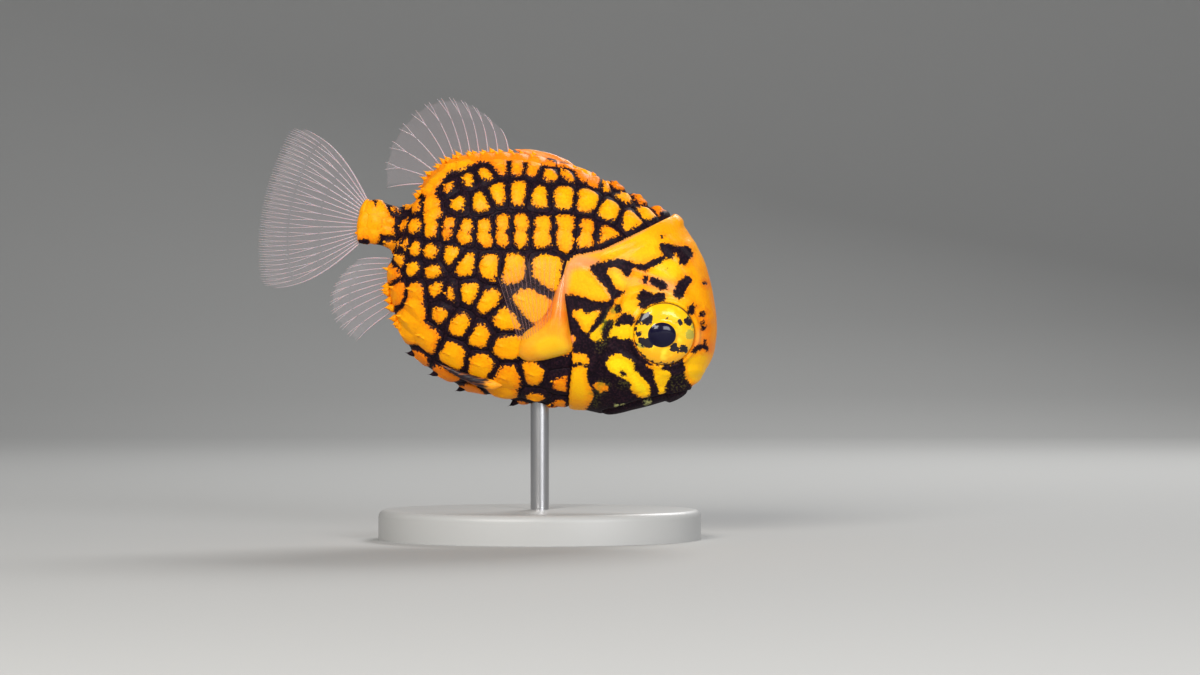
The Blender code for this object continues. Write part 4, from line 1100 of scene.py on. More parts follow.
def tube_points(line, radii, radii_at, u, v, flatten=1.0):
    """Points of a tube round a line of points, whose radii stand at these shares, for u and v."""
    line = np.array(line, float)
    stops = np.linspace(0, 1, len(line))
    middle = np.stack([np.interp(v, stops, line[:, k]) for k in range(3)], axis=1)
    run = np.gradient(line, axis=0)
    run = np.stack([np.interp(v, stops, run[:, k]) for k in range(3)], axis=1)
    run /= np.maximum(np.linalg.norm(run, axis=1), 1e-12)[:, None]
    side = np.cross(run, (0.0, 1.0, 0.0))
    side /= np.maximum(np.linalg.norm(side, axis=1), 1e-12)[:, None]
    other = np.cross(side, run)
    radius = np.interp(v, radii_at, radii)
    angle = 2 * math.pi * u
    return (middle + side * (radius * np.cos(angle))[:, None]
            + other * (radius * flatten * np.sin(angle))[:, None])


def patch_map(bm, patch, only=None):
    """Shrinks the UVs of some faces into a patch of the map, given as its corner and its size."""
    (left, low), (wide, tall) = patch
    layer = bm.loops.layers.uv["OFBake"]
    for face in only or bm.faces:
        for loop in face.loops:
            u, v = loop[layer].uv
            loop[layer].uv = (left + u * wide, low + v * tall)


def add_tube(bm, line, radii, around, steps, flatten=1.0, patch=WHOLE_MAP, tips=None):
    """Adds a closed tube to a bmesh, on its own patch of the map, with tips that take this share."""
    tips = tips or 1 / (len(radii) + 1)
    radii_at = [0.0] + list(np.linspace(tips, 1 - tips, len(radii))) + [1.0]
    radii = [0.0] + list(radii) + [0.0]
    tube = rolled(around, steps, lambda u, v: tube_points(line, radii, radii_at, u, v, flatten),
                  FINE_WELD)
    patch_map(tube, patch)
    mesh = as_mesh(tube, "tube")
    bm.from_mesh(mesh)
    bpy.data.meshes.remove(mesh)


def both_sides(bm):
    """Adds a left copy of everything made for the right side."""
    copied = bmesh.ops.duplicate(bm, geom=bm.verts[:] + bm.edges[:] + bm.faces[:])["geom"]
    for part in copied:
        if isinstance(part, bmesh.types.BMVert):
            part.co.y = -part.co.y
    copies = [part for part in copied if isinstance(part, bmesh.types.BMFace)]
    patch_map(bm, ((1.0, 0.0), (-1.0, 1.0)), copies)
    bm.normal_update()
    bmesh.ops.recalc_face_normals(bm, faces=bm.faces)
    return bm


# %% Growing the spines
SPINE_SIDES, SPINE_STEPS = 8, 5
SPINE_FOOT, SPINE_TIP = 0.15 * MM, 0.02 * MM
PATCH_SIZE = 0.003             # how much of the UV map one spine takes
SPINE_BACK = 0.45              # a spine's foot lies this share of the way back to the scute's border
SPINE_IN, SPINE_BOW = 0.1 * MM, 0.12
BLACK_FOOT = 1.7               # the belly's black spines are this much stouter
# thorns: first and last station, degrees round from the back, count, length in mm, and how much
# wider their feet are than a spine's
THORN_ROWS = ((4.50, 8.70, 6.0, 16, 0.46, 2.0), (10.0, 10.7, 9.0, 3, 0.30, 2.0),
              (4.15, 4.70, 40.0, 4, 0.34, 2.0), (4.6, 6.2, 165.0, 9, 0.52, 2.7))
THORN_BOW = 0.04 * MM
DRAW = random.Random(5)


def add_spine(bm, line, radii, place):
    """Adds one slim cone, on the patch of the map where its root lies on the unwrap of the body."""
    patch = tuple(skin_unwrap(place[None, :])[0]), (PATCH_SIZE, PATCH_SIZE)
    add_tube(bm, line, radii + (SPINE_TIP,), SPINE_SIDES, SPINE_STEPS, patch=patch)


def add_scute_spine(bm, i):
    """Adds the spine at the end of scute i's keel, unless the gill cover hides it."""
    place, facing = SITES[i], FACINGS[i]
    tall = abs(FACTS[i].spine) * DRAW.uniform(0.85, 1.15)
    forward, upward = along_skin(facing)
    foot = place - forward * scute_borders(i, forward, upward)[SPOKES // 2] * SPINE_BACK
    if to_area(*to_photo(foot[None, :]), HEAD_AREA, cuts=0)[0] < 4:
        return
    rise = PLATE_RISE + DOME * 0.5
    tip = foot + facing * (rise + tall * 0.75) - forward * tall * 0.9
    bend = (foot + facing * rise + tip) / 2 + facing * tall * SPINE_BOW
    wide = SPINE_FOOT * (0.7 + tall / MM) * (BLACK_FOOT if FACTS[i].spine < 0 else 1)
    line = (foot - facing * SPINE_IN, foot + facing * rise * 0.8, bend, tip)
    add_spine(bm, line, (wide, wide * 0.8, wide * 0.45), place)


def add_thorns(bm, first, last, degrees, count, length, stout):
    """Adds a row of thorns, each a little off its place, angle and length."""
    for t in np.linspace(first, last, count):
        t += DRAW.uniform(-0.10, 0.10)
        turn = math.radians(degrees + DRAW.uniform(-2.5, 2.5))
        here = skin_points(np.array((t,)), np.array((turn,)))
        place, facing = (found[0] for found in lay_on_skin(here))
        tall = length * MM * DRAW.uniform(0.45, 1.3)
        tip = place + facing * (PLATE_RISE + DOME + tall * 0.8) - np.array((tall * 0.7, 0, 0))
        bend = (place * 2 + tip) / 3 + facing * THORN_BOW
        wide = SPINE_FOOT * stout
        add_spine(bm, (place, bend, tip), (wide, wide * 0.7), place)


bm = bmesh.new()
blacks = []
for i, fact in enumerate(FACTS):
    add_scute_spine(bm, i)
    blacks += [fact.spine < 0] * (len(bm.verts) - len(blacks))
for row in THORN_ROWS:
    add_thorns(bm, *row)
blacks += [False] * (len(bm.verts) - len(blacks))
spines = as_mesh(both_sides(bm), "spines")
note(spines, dark=np.where(blacks * 2, 8.0, -8.0), warm=0.8, pink=0.0, green=0.0)
finish_piece("scute_spines", spines, ARMOUR_PAINT, "scute_armour")

# %% [markdown]
# ## Fins of rays and film
# A fin is a fan of bony rays with a film of clear skin between. In the photo the film all but
# vanishes and only the rays show, pale with a lilac tint, so here the film is a thin clear sheet
# and each ray is a fine tube that forks once or twice toward the margin, as real soft rays do.

# %% Fin forms
ROOT_SUNK, TAIL_ROOT_SUNK = 0.35 * MM, 0.15 * MM


def mid_plane(along, up):
    """Points of the fish's middle plane."""
    return np.stack((along, np.zeros_like(along), up), axis=-1)


def root_line(edge, first, last):
    """A root line along the back (edge 0) or the belly (edge 1), sunk a little under the skin."""
    def root_at(f):
        row = station(first + (last - first) * f)
        inward = ROOT_SUNK if edge else -ROOT_SUNK
        return mid_plane(row[:, 2 * edge], row[:, 2 * edge + 1] + inward)

    return root_at


def tail_root(f):
    """The tail fin's root line, down the end of the tail."""
    row = station(np.zeros_like(f))
    down = 0.03 + 0.94 * f
    return mid_plane(row[:, 0] + (row[:, 2] - row[:, 0]) * down + TAIL_ROOT_SUNK,
                     row[:, 1] + (row[:, 3] - row[:, 1]) * down)


def fan_place(root_at, length_at, angle_at, curl_at, wave):
    """place(f, g): a point of a fin in the mid-plane, f over its rays and g from root to tip."""
    def place(f, g):
        angle = np.radians(angle_at(f) + curl_at(f) * g * g)
        across = wave * np.sin(math.pi * (2 * f + 0.3)) * g * g
        run = mid_plane(np.cos(angle), np.sin(angle))
        points = root_at(f) + run * (length_at(f) * LENGTH * g)[:, None]
        points[:, 1] += across
        return points

    return place


def tail_length(f):
    """The tail fin's rays: a hollow margin between two rounded lobes."""
    rounding = np.exp(-np.maximum(f, 0) / 0.035) + np.exp(-np.maximum(1 - f, 0) / 0.035)
    return 0.274 + 0.026 * (2 * f - 1) ** 2 - 0.034 * rounding


# %% The three middle fins
# each fin's CAD node, its count of rays, how often they fork, and its places. Lengths are in fish
# lengths and angles in degrees up from headward, for f from the first ray (0) to the last (1).
MIDDLE_FINS = (
    ("tail_fin", 19, 2, fan_place(
        tail_root, tail_length, lambda f: 133.0 + 105.0 * f,
        lambda f: 15.0 - 29.0 * f, 0.6 * MM)),
    ("soft_dorsal_fin", 12, 1, fan_place(
        root_line(0, 8.15, 4.65),
        lambda f: 0.085 + 0.030 * f + 0.080 * np.sin(math.pi * f ** 0.85),
        lambda f: 111.0 + 87.0 * f ** 3, lambda f: 12.0 - 8.0 * f, 0.5 * MM)),
    ("anal_fin", 11, 1, fan_place(
        root_line(1, 3.55, 5.55), lambda f: 0.095 + 0.045 * f + 0.055 * np.sin(math.pi * f),
        lambda f: 192.0 + 38.0 * f, lambda f: 6.0, 0.4 * MM)),
)
print("rays:", {node: rays for node, rays, _, _ in MIDDLE_FINS})

# %% Film and rays
FILM_HALF = 0.035 * MM
FILM_SHARE, SCALLOP = 0.985, 0.035     # how far the film reaches, and how hollow its margin is
RAY_ROOT, RAY_TIP = 0.058 * MM, 0.016 * MM
RAY_OVER = 1.02                # rays reach this far past the film's margin
LINE_POINTS = 14
# where rays that fork once or twice first split, and how far apart their branches lie, in gaps
SPLIT_AT, SPREAD = {1: 0.64, 2: 0.42}, {1: 0.16, 2: 0.24}
TWIGS_FROM, TWIG_SPREAD = 0.74, 0.12
OVERLAP = 0.02                 # each branch starts this far inside its stem


def film(place, rays):
    """The clear sheet between the rays, closed round its margin, which is scalloped."""
    def film_place(u, v):
        turn = u * 2
        f = np.where(turn <= 1, turn, 2 - turn)
        side = np.where(turn <= 1, -1.0, 1.0)
        scallop = 1 - SCALLOP * np.abs(np.sin(math.pi * f * (rays - 1))) * v ** 3
        points = place(f, v * scallop * FILM_SHARE)
        edge = np.minimum(np.minimum(f, 1 - f) * 40, 1) * np.minimum(np.minimum(v, 1 - v) * 20, 1)
        points[:, 1] += side * FILM_HALF * np.maximum(edge, 0.0)
        return points

    return rolled(8 * (rays - 1), 36, film_place, FINE_WELD)


def add_branch(bm, line, radii, around, steps):
    """Adds one stretch of a ray, with blunt ends."""
    add_tube(bm, line, radii, around, steps, tips=1 / steps)


def add_rays(bm, place, rays, forks, fine=1.0):
    """Adds a fin's rays to a bmesh. All but the outer two fork once or twice."""
    def line(f, low, high, spread=0.0):
        g = np.linspace(low, high, LINE_POINTS)
        return place(f + ease(g, low, high) * spread, g)

    gap = 1 / (rays - 1)
    for k in range(rays):
        f = k * gap
        thick = RAY_ROOT * fine
        if k in (0, rays - 1):
            thick *= 1.25
            add_branch(bm, line(f, -OVERLAP, RAY_OVER), (thick, thick * 0.8, RAY_TIP), 6, 16)
            continue
        split = SPLIT_AT[forks] + 0.06 * DRAW.random()
        add_branch(bm, line(f, -OVERLAP, split), (thick, thick * 0.8, thick * 0.6), 6, 16)
        end, end_thick = (RAY_OVER, RAY_TIP) if forks == 1 else (TWIGS_FROM, thick * 0.36)
        for turn in (-1, 1):
            spread = turn * gap * SPREAD[forks]
            add_branch(bm, line(f, split - OVERLAP, end, spread), (thick * 0.6, thick * 0.45, end_thick),
                       6, 14)
            for twig in (-1, 1) if forks == 2 else ():
                add_branch(bm, line(f + spread, TWIGS_FROM - OVERLAP, RAY_OVER, twig * gap * TWIG_SPREAD),
                           (end_thick, thick * 0.26, RAY_TIP), 5, 10)


FILM_SKIN = plain("fin_film", Base_Color=(0.80, 0.62, 0.68, 1), Roughness=0.25, Alpha=0.032)
RAY_BONE = plain("fin_rays", Base_Color=(0.56, 0.44, 0.47, 1), Roughness=0.35, Alpha=0.66,
                 Subsurface_Weight=0.2, Subsurface_Scale=0.4 * MM)

for node, rays, forks, place in MIDDLE_FINS:
    finish_piece(f"{node}_film", as_mesh(film(place, rays), "film"), FILM_SKIN, "fin_membrane", (node,))
    bm = bmesh.new()
    add_rays(bm, place, rays, forks)
    finish_piece(f"{node}_rays", as_mesh(bm, "rays"), RAY_BONE, "spine_bone", (node,))

# %% [markdown]
# ## The folded spines of the back
# In front of the soft fin stand a few stout spines. This fish has them folded back, where they lie
# against each other as one smooth, pale orange ridge. Each is a slightly flattened cone with a soft
# bow, and six of them, leaning left and right in turn, fill the ridge without a gap.

# %% Laying down the dorsal spines
# the station of each spine's root, its length in fish lengths and its half width in mm
FOLDED = ((8.90, 0.060, 0.40), (9.10, 0.085, 0.46), (9.32, 0.110, 0.50), (9.55, 0.125, 0.50),
          (9.78, 0.125, 0.46), (9.98, 0.105, 0.38))
FOLDED_SHAPE = np.array((0.9, 1.0, 0.85, 0.6, 0.25))
FOLDED_FLAT = 0.8
LEAN, FOLDED_SUNK, FOLDED_RISE, FOLDED_BOW = 0.30 * MM, 0.25 * MM, 0.62 * MM, 0.5 * MM


def folded_spines():
    """The spines of the back, each lying over the root of the one behind it."""
    bm = bmesh.new()
    wide = 1 / len(FOLDED)
    for k, (t, length, thick) in enumerate(FOLDED):
        here, behind = (station(np.array((t - back,)))[0] for back in (0.0, 1.0))
        slope = np.array((behind[0] - here[0], 0, behind[1] - here[1]))
        slope /= np.linalg.norm(slope)
        out = np.array((slope[2], 0, -slope[0]))
        lean = np.array((0, LEAN if k % 2 else -LEAN, 0))
        start = np.array((here[0], 0, here[1])) - out * FOLDED_SUNK + lean * 0.4
        tip = start + slope * length * LENGTH + out * FOLDED_RISE + lean
        line = [start + (tip - start) * g + out * FOLDED_BOW * g * (1 - g) for g in np.linspace(0, 1, 9)]
        add_tube(bm, line, FOLDED_SHAPE * thick * MM, 16, 24, FOLDED_FLAT, ((k * wide, 0.0), (wide, 1.0)))
    return bm


SPINE_BONE, tree, shader = new_material("spine_bone", Roughness=0.48, Coat_Weight=0.12,
                                        Coat_Roughness=0.20, Subsurface_Weight=0.3,
                                        Subsurface_Scale=0.8 * MM)
tint = step(tree, noise(tree, place_in(tree), 900.0), 0.35, 0.65)
tree.links.new(mixed(tree, tint, (0.90, 0.21, 0.012, 1), (0.90, 0.30, 0.06, 1)),
               shader.inputs["Base Color"])
finish_piece("dorsal_spines", as_mesh(folded_spines(), "spines"), SPINE_BONE, "spine_bone")

# %% [markdown]
# ## The pectoral lobe and the film up the gill's edge
# The pectoral fin rises from a fleshy orange lobe under the gill cover, and a film runs from the
# lobe up the gill's edge, pink above and orange below. Both together are one cushion laid on the
# skin. Its outline is traced on the photo, and its height is worked out as for a soap film blown
# up from below: each place takes the mean of its neighbours plus a little, over and over.

# %% A cushion on the skin
FILM_ROUNDS, FILM_BLUR = 2500, 12      # how often the soap film is blown, and then smoothed
CUSHION_GRID = 110
CUSHION_SINK = 0.25 * MM               # its margin runs this deep into the skin
CUSHION_FLOOR = CUSHION_SINK + 0.1 * MM    # and its underside lies this deep
MARGIN = 1.5                           # pixels of sheet past the outline


def neighbours_mean(film):
    """The mean of the four places round each place of a sheet."""
    return sum(np.roll(film, turn, axis) for turn in (-1, 1) for axis in (0, 1)) / 4


def cushion(corners, swell, bend):
    """A closed cushion over an outline of the photo, swollen like a soap film to that height."""
    line = rounded(corners, 3)
    low, high = line.min(0) - MARGIN, line.max(0) + MARGIN
    bm, u, v = new_sheet(CUSHION_GRID, CUSHION_GRID)
    x, y = low[0] + (high[0] - low[0]) * u, low[1] + (high[1] - low[1]) * v
    far = to_area(x, y, corners)
    base, facing = as_arrays([on_side(a, b) for a, b in zip(*from_photo(x, y))])
    inside = (far < 0).reshape(CUSHION_GRID + 1, CUSHION_GRID + 1)
    film = np.zeros(inside.shape)
    for _ in range(FILM_ROUNDS):
        film = (neighbours_mean(film) + 1) * inside
    film = (film / film.max()) ** bend
    for _ in range(FILM_BLUR):
        film = neighbours_mean(film)
    height = swell * film.ravel() - CUSHION_SINK * ease(far, -0.5, 1.5)
    move_points(bm, base + facing * height[:, None])
    bm.verts.index_update()
    outer = [face for face in bm.faces if all(far[vert.index] > 1.2 for vert in face.verts)]
    bmesh.ops.delete(bm, geom=outer, context="FACES")
    patch_map(bm, ((0.0, 0.0), (0.5, 0.5)))
    top = set(bm.faces)
    made = bmesh.ops.extrude_face_region(bm, geom=bm.faces[:])["geom"]
    patch_map(bm, ((0.0, 0.5), (1.0, 1.0)), [face for face in bm.faces if face not in top])
    for vert in made:
        if isinstance(vert, bmesh.types.BMVert):
            place, normal, _, _ = SKIN.find_nearest(vert.co)
            vert.co = place - normal * CUSHION_FLOOR
    bm.normal_update()
    bmesh.ops.recalc_face_normals(bm, faces=bm.faces)
    return bm


# %% The lobe and its flesh
LOBE = ((571, 258.5), (564.5, 274), (557, 291.5), (551.5, 309.5), (544, 322.5), (534, 327.5),
        (523.5, 335), (519.5, 345.5), (519.5, 355.5), (527.5, 361), (544, 359.5), (559.5, 355.5),
        (574.5, 351.5), (572.5, 340), (569.5, 325), (567.5, 309.5), (566, 297), (567, 281.5),
        (570.5, 269), (576, 259))
LOBE_HIGH, LOBE_BEND = 1.0 * MM, 0.6       # below 1 the bend makes the swell fuller
# where the lobe's swell gets a painted highlight of yellow
HIGHLIGHT_AT, HIGHLIGHT_WIDE, HIGHLIGHT_TALL = (553, 347), 19, 0.6
PECTORALS = ("pectoral_fin_right", "pectoral_fin_left")


def lobe_warmth(x, y):
    """Orange up the gill's edge, at the lobe's hinge and round its rim, and a painted highlight of yellow
    on its swell.
    """
    # the yellow on the swell is a painted highlight
    swell = ease(-to_spot(x, y, HIGHLIGHT_AT, HIGHLIGHT_WIDE, HIGHLIGHT_TALL), -4, 10)
    return np.clip(0.45 + 0.55 * ease(-y, -338, -312) + 0.3 * ease(x, 562, 572) - 0.6 * swell, 0, 1)


FLESH, tree, shader = new_material("fin_flesh", Roughness=0.36, Coat_Weight=0.2, Coat_Roughness=0.1,
                                   Specular_IOR_Level=0.25, Subsurface_Weight=0.25,
                                   Subsurface_Scale=0.8 * MM)
at = place_in(tree)
streaks = maths(tree, "MULTIPLY", step(tree, noise(tree, at, 1400.0, 3.0), 0.35, 0.70), 0.15)
flesh = mixed(tree, noted(tree, "warm"), (0.97, 0.50, 0.004, 1), (0.86, 0.20, 0.006, 1))
flesh = mixed(tree, noted(tree, "pink"), flesh, FILM)
tree.links.new(mixed(tree, streaks, flesh, (0.98, 0.60, 0.04, 1)), shader.inputs["Base Color"])
bumped(tree, shader, noise(tree, at, 2600.0, 3.0), 0.06 * MM, 0.6)

lobes = as_mesh(both_sides(cushion(LOBE, LOBE_HIGH, LOBE_BEND)), "lobes")
x, y = to_photo(coordinates(lobes))
note(lobes, warm=lobe_warmth(x, y), pink=0.8 * ease(-y, -318, -268))
finish_piece("pectoral_lobes", lobes, FLESH, "fin_membrane", PECTORALS)

# %% [markdown]
# ## The clear fan
# Behind the lobe the fan lies folded back on the flank, so clear that only fine dark rays and a
# faint streak show in the photo. It is made like the other fins, but its film is laid over the
# scutes: every point is found on the skin and lifted off it, with a small ripple from ray to ray.

# %% The clear fan of the pectoral fin
# its first and last ray's root and tip, along and up the fish in fish lengths
FAN_ROOT = np.array(((0.574, -0.140), (0.502, -0.172)))
FAN_TIP = np.array(((0.536, 0.058), (0.404, -0.030)))
FAN_RAYS = 13
FAN_BULGE = 0.014
FAN_LIFT, FAN_FLARE, FAN_RIPPLE = 0.55 * MM, 0.45 * MM, 0.05 * MM
FAN_FINE = 0.55                # its rays are this much finer than the other fins'


def pectoral_place(f, g):
    """A point of the right fan: f from its leading ray back, g from its root to its margin."""
    root = FAN_ROOT[0] + np.outer(f, FAN_ROOT[1] - FAN_ROOT[0])
    tip = FAN_TIP[0] + np.outer(f, FAN_TIP[1] - FAN_TIP[0])
    bulge = FAN_BULGE * np.sin(math.pi * np.clip(f, 0, 1)) * g
    flat = root + (tip - root) * g[:, None] + np.stack((-bulge, bulge), axis=1)
    points, facing = as_arrays([on_side(a, b) for a, b in (flat * LENGTH).tolist()])
    outward = facing * 0.5 + np.array((0, -0.5, 0))
    ripple = FAN_RIPPLE * np.sin(2 * math.pi * f * (FAN_RAYS - 1))
    return points + outward * (FAN_LIFT + FAN_FLARE * g + ripple)[:, None]


FAN_FILM = plain("fan_film", Base_Color=(0.75, 0.55, 0.55, 1), Roughness=0.2, Alpha=0.015)
FAN_BONE = plain("fan_rays", Base_Color=(0.40, 0.19, 0.17, 1), Roughness=0.4, Alpha=0.24)
fan = as_mesh(both_sides(film(pectoral_place, FAN_RAYS)), "film")
finish_piece("pectoral_film", fan, FAN_FILM, "fin_membrane", PECTORALS)
bm = bmesh.new()
add_rays(bm, pectoral_place, FAN_RAYS, 1, FAN_FINE)
finish_piece("pectoral_rays", as_mesh(both_sides(bm), "rays"), FAN_BONE, "spine_bone", PECTORALS)

# %% [markdown]
# ## The folded pelvic spines
# Below the pectoral fin a single stout spine folds back along the belly. It is dark, grooved
# lengthwise and striped with brown, and rises from an orange pad.

# %% Pelvic spines
# pixel, how far it stands off the skin and its half width in mm, from root to tip
PELVIC_LINE = ((505, 384, 0.10, 0.42), (492, 383, 0.35, 0.42), (478, 379, 0.45, 0.36),
               (462, 373, 0.45, 0.28), (447, 366, 0.40, 0.18), (440, 362, 0.36, 0.06))
PELVIC_FLAT = 0.8
RIGHT_HALF = ((0.0, 0.0), (0.5, 1.0))


def pelvic_spines():
    """Both pelvic spines, each a flattened cone along the belly."""
    line = []
    for x, y, lift, _ in PELVIC_LINE:
        place, facing = on_side(*from_photo(x, y))
        line.append(place + (facing * 0.3 + np.array((0, -0.7, 0))) * lift * MM)
    bm = bmesh.new()
    add_tube(bm, line, [row[3] * MM for row in PELVIC_LINE], 18, 40, PELVIC_FLAT, RIGHT_HALF)
    return both_sides(bm)


PELVIC_BONE, tree, shader = new_material("pelvic_bone", Roughness=0.46, Coat_Weight=0.12,
                                         Coat_Roughness=0.22, Specular_IOR_Level=0.25)
along_spine = {"Vector": place_in(tree), "Scale": (0.25, 1.0, 1.0), "Rotation": (0, -0.45, 0)}
stretched = add_node(tree, "ShaderNodeMapping", along_spine).outputs["Vector"]
grooves = noise(tree, stretched, GRAIN_SCALE, 2.0)
striped = mixed(tree, step(tree, grooves, 0.46, 0.70), (0.012, 0.006, 0.010, 1),
                (0.20, 0.055, 0.012, 1))
rooted = step(tree, maths(tree, "ADD", grooves, noted(tree, "warm")), 0.75, 1.25)
tree.links.new(mixed(tree, rooted, striped, (0.93, 0.33, 0.006, 1)), shader.inputs["Base Color"])
bumped(tree, shader, grooves, 0.08 * MM)
pelvics = as_mesh(pelvic_spines(), "spines")
note(pelvics, warm=ease(to_photo(coordinates(pelvics))[0], 474, 502))
finish_piece("pelvic_spines", pelvics, PELVIC_BONE, "spine_bone",
             ("pelvic_fin_right", "pelvic_fin_left"))

# %% [markdown]
# ## The eyes
# The eye is the photo's brightest spot: a yellow iris two and a half millimetres in radius, flecked
# with black and green, and a deep blue-black pupil whose lens bulges. A shallow ball sits in its
# socket at the depth of a real eye. A clear coat on its paint does a cornea's work and catches the
# light, so no second shell is needed.

# %% The ball and its lens
BALL_WIDE, BALL_DEEP = 2.56 * MM, 1.02 * MM
EYE_SUNK = 0.42 * MM
LENS_WIDE = (13.9 * PX, 12.3 * PX)
LENS_HIGH = 0.16 * MM
LENS_BACK = 1.3 * PX           # the pupil lies this far behind the iris's middle
DISH_DEEP, DISH_AT, DISH_WIDE = 0.10 * MM, 1.15, 0.35      # a hollow ring round the lens
BALL_AROUND, BALL_RINGS = 96, 56
POLE_POWER = 1.25              # above 1 the rings lie closer together at the front pole


def ball_place(u, v):
    """The right ball's points in the fish's frame, with its front pole at v 0."""
    place, facing = on_side(*from_photo(*EYE_AT))
    forward, upward = along_skin(facing)
    turn, fall = 2 * math.pi * u, math.pi * v ** POLE_POWER
    flat = np.stack((np.cos(turn), np.sin(turn)), axis=1) * np.sin(fall)[:, None] * BALL_WIDE
    high = np.cos(fall) * BALL_DEEP
    from_lens = np.hypot((flat[:, 0] + LENS_BACK) / LENS_WIDE[0], flat[:, 1] / LENS_WIDE[1])
    lens = LENS_HIGH * np.sqrt(np.clip(1 - from_lens ** 2, 0, 1))
    front = lens - DISH_DEEP * hump(from_lens, DISH_AT, DISH_WIDE)
    high = high + np.where(high > 0, front, 0.0) - EYE_SUNK
    return place + flat[:, :1] * forward + flat[:, 1:] * upward + high[:, None] * facing


# %% The iris's flecks and both eyes
# each fleck's middle and radius
EYE_BLACKS = (((645.3, 319.3), 6.3), ((636.5, 322.0), 3.2), ((634.5, 329.0), 2.2),
              ((638.0, 334.0), 2.8), ((641.0, 341.0), 4.2), ((647.5, 343.0), 5.4),
              ((686.6, 322.0), 4.4), ((678.2, 322.8), 3.0), ((672.6, 347.3), 4.4),
              ((682.4, 348.8), 4.2), ((676.5, 351.0), 2.2), ((653.0, 340.5), 4.0),
              ((665.5, 318.5), 0.9))
EYE_GREENS = (((688.5, 334.7), 5.0), ((640.5, 344.5), 3.8), ((692.0, 326.0), 2.6),
              ((688.0, 318.0), 2.6), ((648.0, 317.0), 2.8))
DARK_RING = ((632.6, 331.0), (633.5, 340.0), (637.5, 350.0), (644.5, 357.5), (654.0, 362.0),
             (664.0, 363.4), (674.0, 361.6))
PUPIL_AT = (EYE_AT[0] - 1 - LENS_BACK / PX, EYE_AT[1] + 1)
PUPIL_EDGE = 12                # how steeply the pupil's value falls, across its own radius


def eye_piece(side):
    """One eye's mesh, right (1) or left (-1), with its flecks noted on it."""
    bm = rolled(BALL_AROUND, BALL_RINGS, ball_place)
    mesh = as_mesh(bm, "eye")
    x, y = to_photo(coordinates(mesh))
    off = np.hypot((x - PUPIL_AT[0]) * PX / LENS_WIDE[0], (y - PUPIL_AT[1]) * PX / LENS_WIDE[1])
    black = deepest(-to_spot(x, y, centre, radius) for centre, radius in EYE_BLACKS)
    note(mesh, pupil=(1 - off) * PUPIL_EDGE,
         dark=np.maximum(black, -to_stroke(x, y, DARK_RING, 1.0)),
         green=deepest(-to_spot(x, y, centre, radius) for centre, radius in EYE_GREENS),
         low=ease(y, EYE_AT[1] - 14, EYE_AT[1] + 22), rim=to_spot(x, y, EYE_AT, IRIS))
    if side < 0:
        flip(mesh)
    return mesh


def flip(mesh):
    """Turns a right piece into its left twin."""
    bm = bmesh.new()
    bm.from_mesh(mesh)
    for vert in bm.verts:
        vert.co.y = -vert.co.y
    bmesh.ops.reverse_faces(bm, faces=bm.faces)
    bm.to_mesh(mesh)
    bm.free()


# %% Paint for the eyes
EYE_PAINT, tree, shader = new_material("eye_paint", Roughness=0.30, Coat_Weight=0.5,
                                       Coat_Roughness=0.02, Specular_IOR_Level=0.1)
at = place_in(tree)
fine = swing(tree, at, 4200.0, 3.0)
tone = noise(tree, at, 1100.0)
yellow = mixed(tree, maths(tree, "MULTIPLY_ADD", fine, 0.5, noted(tree, "low")), LEMON,
               (0.96, 0.44, 0.008, 1))
yellow = mixed(tree, step(tree, tone, 0.50, 0.72), yellow, (0.98, 0.66, 0.03, 1))
green = step(tree, maths(tree, "MULTIPLY_ADD", fine, 8.0, noted(tree, "green")), -0.8, 0.8)
yellow = mixed(tree, maths(tree, "MULTIPLY", green, 0.75), yellow, (0.30, 0.34, 0.06, 1))
dark = step(tree, maths(tree, "MULTIPLY_ADD", fine, 7.0, noted(tree, "dark")), -0.4, 0.5)
colour = mixed(tree, dark, yellow, (0.014, 0.010, 0.016, 1))
ring = step(tree, noted(tree, "rim"), -1.1, 0.2)
colour = mixed(tree, ring, colour, (0.10, 0.035, 0.010, 1))
pupil = step(tree, noted(tree, "pupil"), -0.15, 0.25)
tree.links.new(mixed(tree, pupil, colour, (0.0020, 0.0010, 0.018, 1)), shader.inputs["Base Color"])

for side, node in ((1, "eye_right"), (-1, "eye_left")):
    finish_piece(node + "_ball", eye_piece(side), EYE_PAINT, "eye", (node,))

# %% [markdown]
# ## The stand
# A flat oval base in a pale satin paint with a rounded upper edge, and a slim steel rod up to the
# belly. Both follow the CAD nodes exactly and only gain finer edges.

# %% Base and rod
BASE_SEGMENTS, ROD_SEGMENTS = 128, 48
BASE_EDGE = 0.55 * MM
ROD_IN_BASE, ROD_IN_BELLY = 0.2 * MM, 0.1 * MM
base_low, base_high = (np.array(corner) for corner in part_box("stand_base"))


def cylinder(segments, radius):
    """A closed cylinder one metre tall, about the origin."""
    bm = bmesh.new()
    bmesh.ops.create_cone(bm, cap_ends=True, segments=segments, radius1=radius, radius2=radius,
                          depth=1.0)
    return bm


def oval_base():
    """The base: a cylinder stretched to the CAD node's box, with its upper edge rounded."""
    bm = cylinder(BASE_SEGMENTS, 0.5)
    bmesh.ops.scale(bm, vec=base_high - base_low, verts=bm.verts)
    bmesh.ops.translate(bm, vec=(base_low + base_high) / 2, verts=bm.verts)
    top = base_high[2] - 1e-6
    rim = [edge for edge in bm.edges if all(v.co.z > top for v in edge.verts)]
    bmesh.ops.bevel(bm, geom=rim, offset=BASE_EDGE, segments=5, profile=0.5, affect="EDGES", material=-1)
    return bm


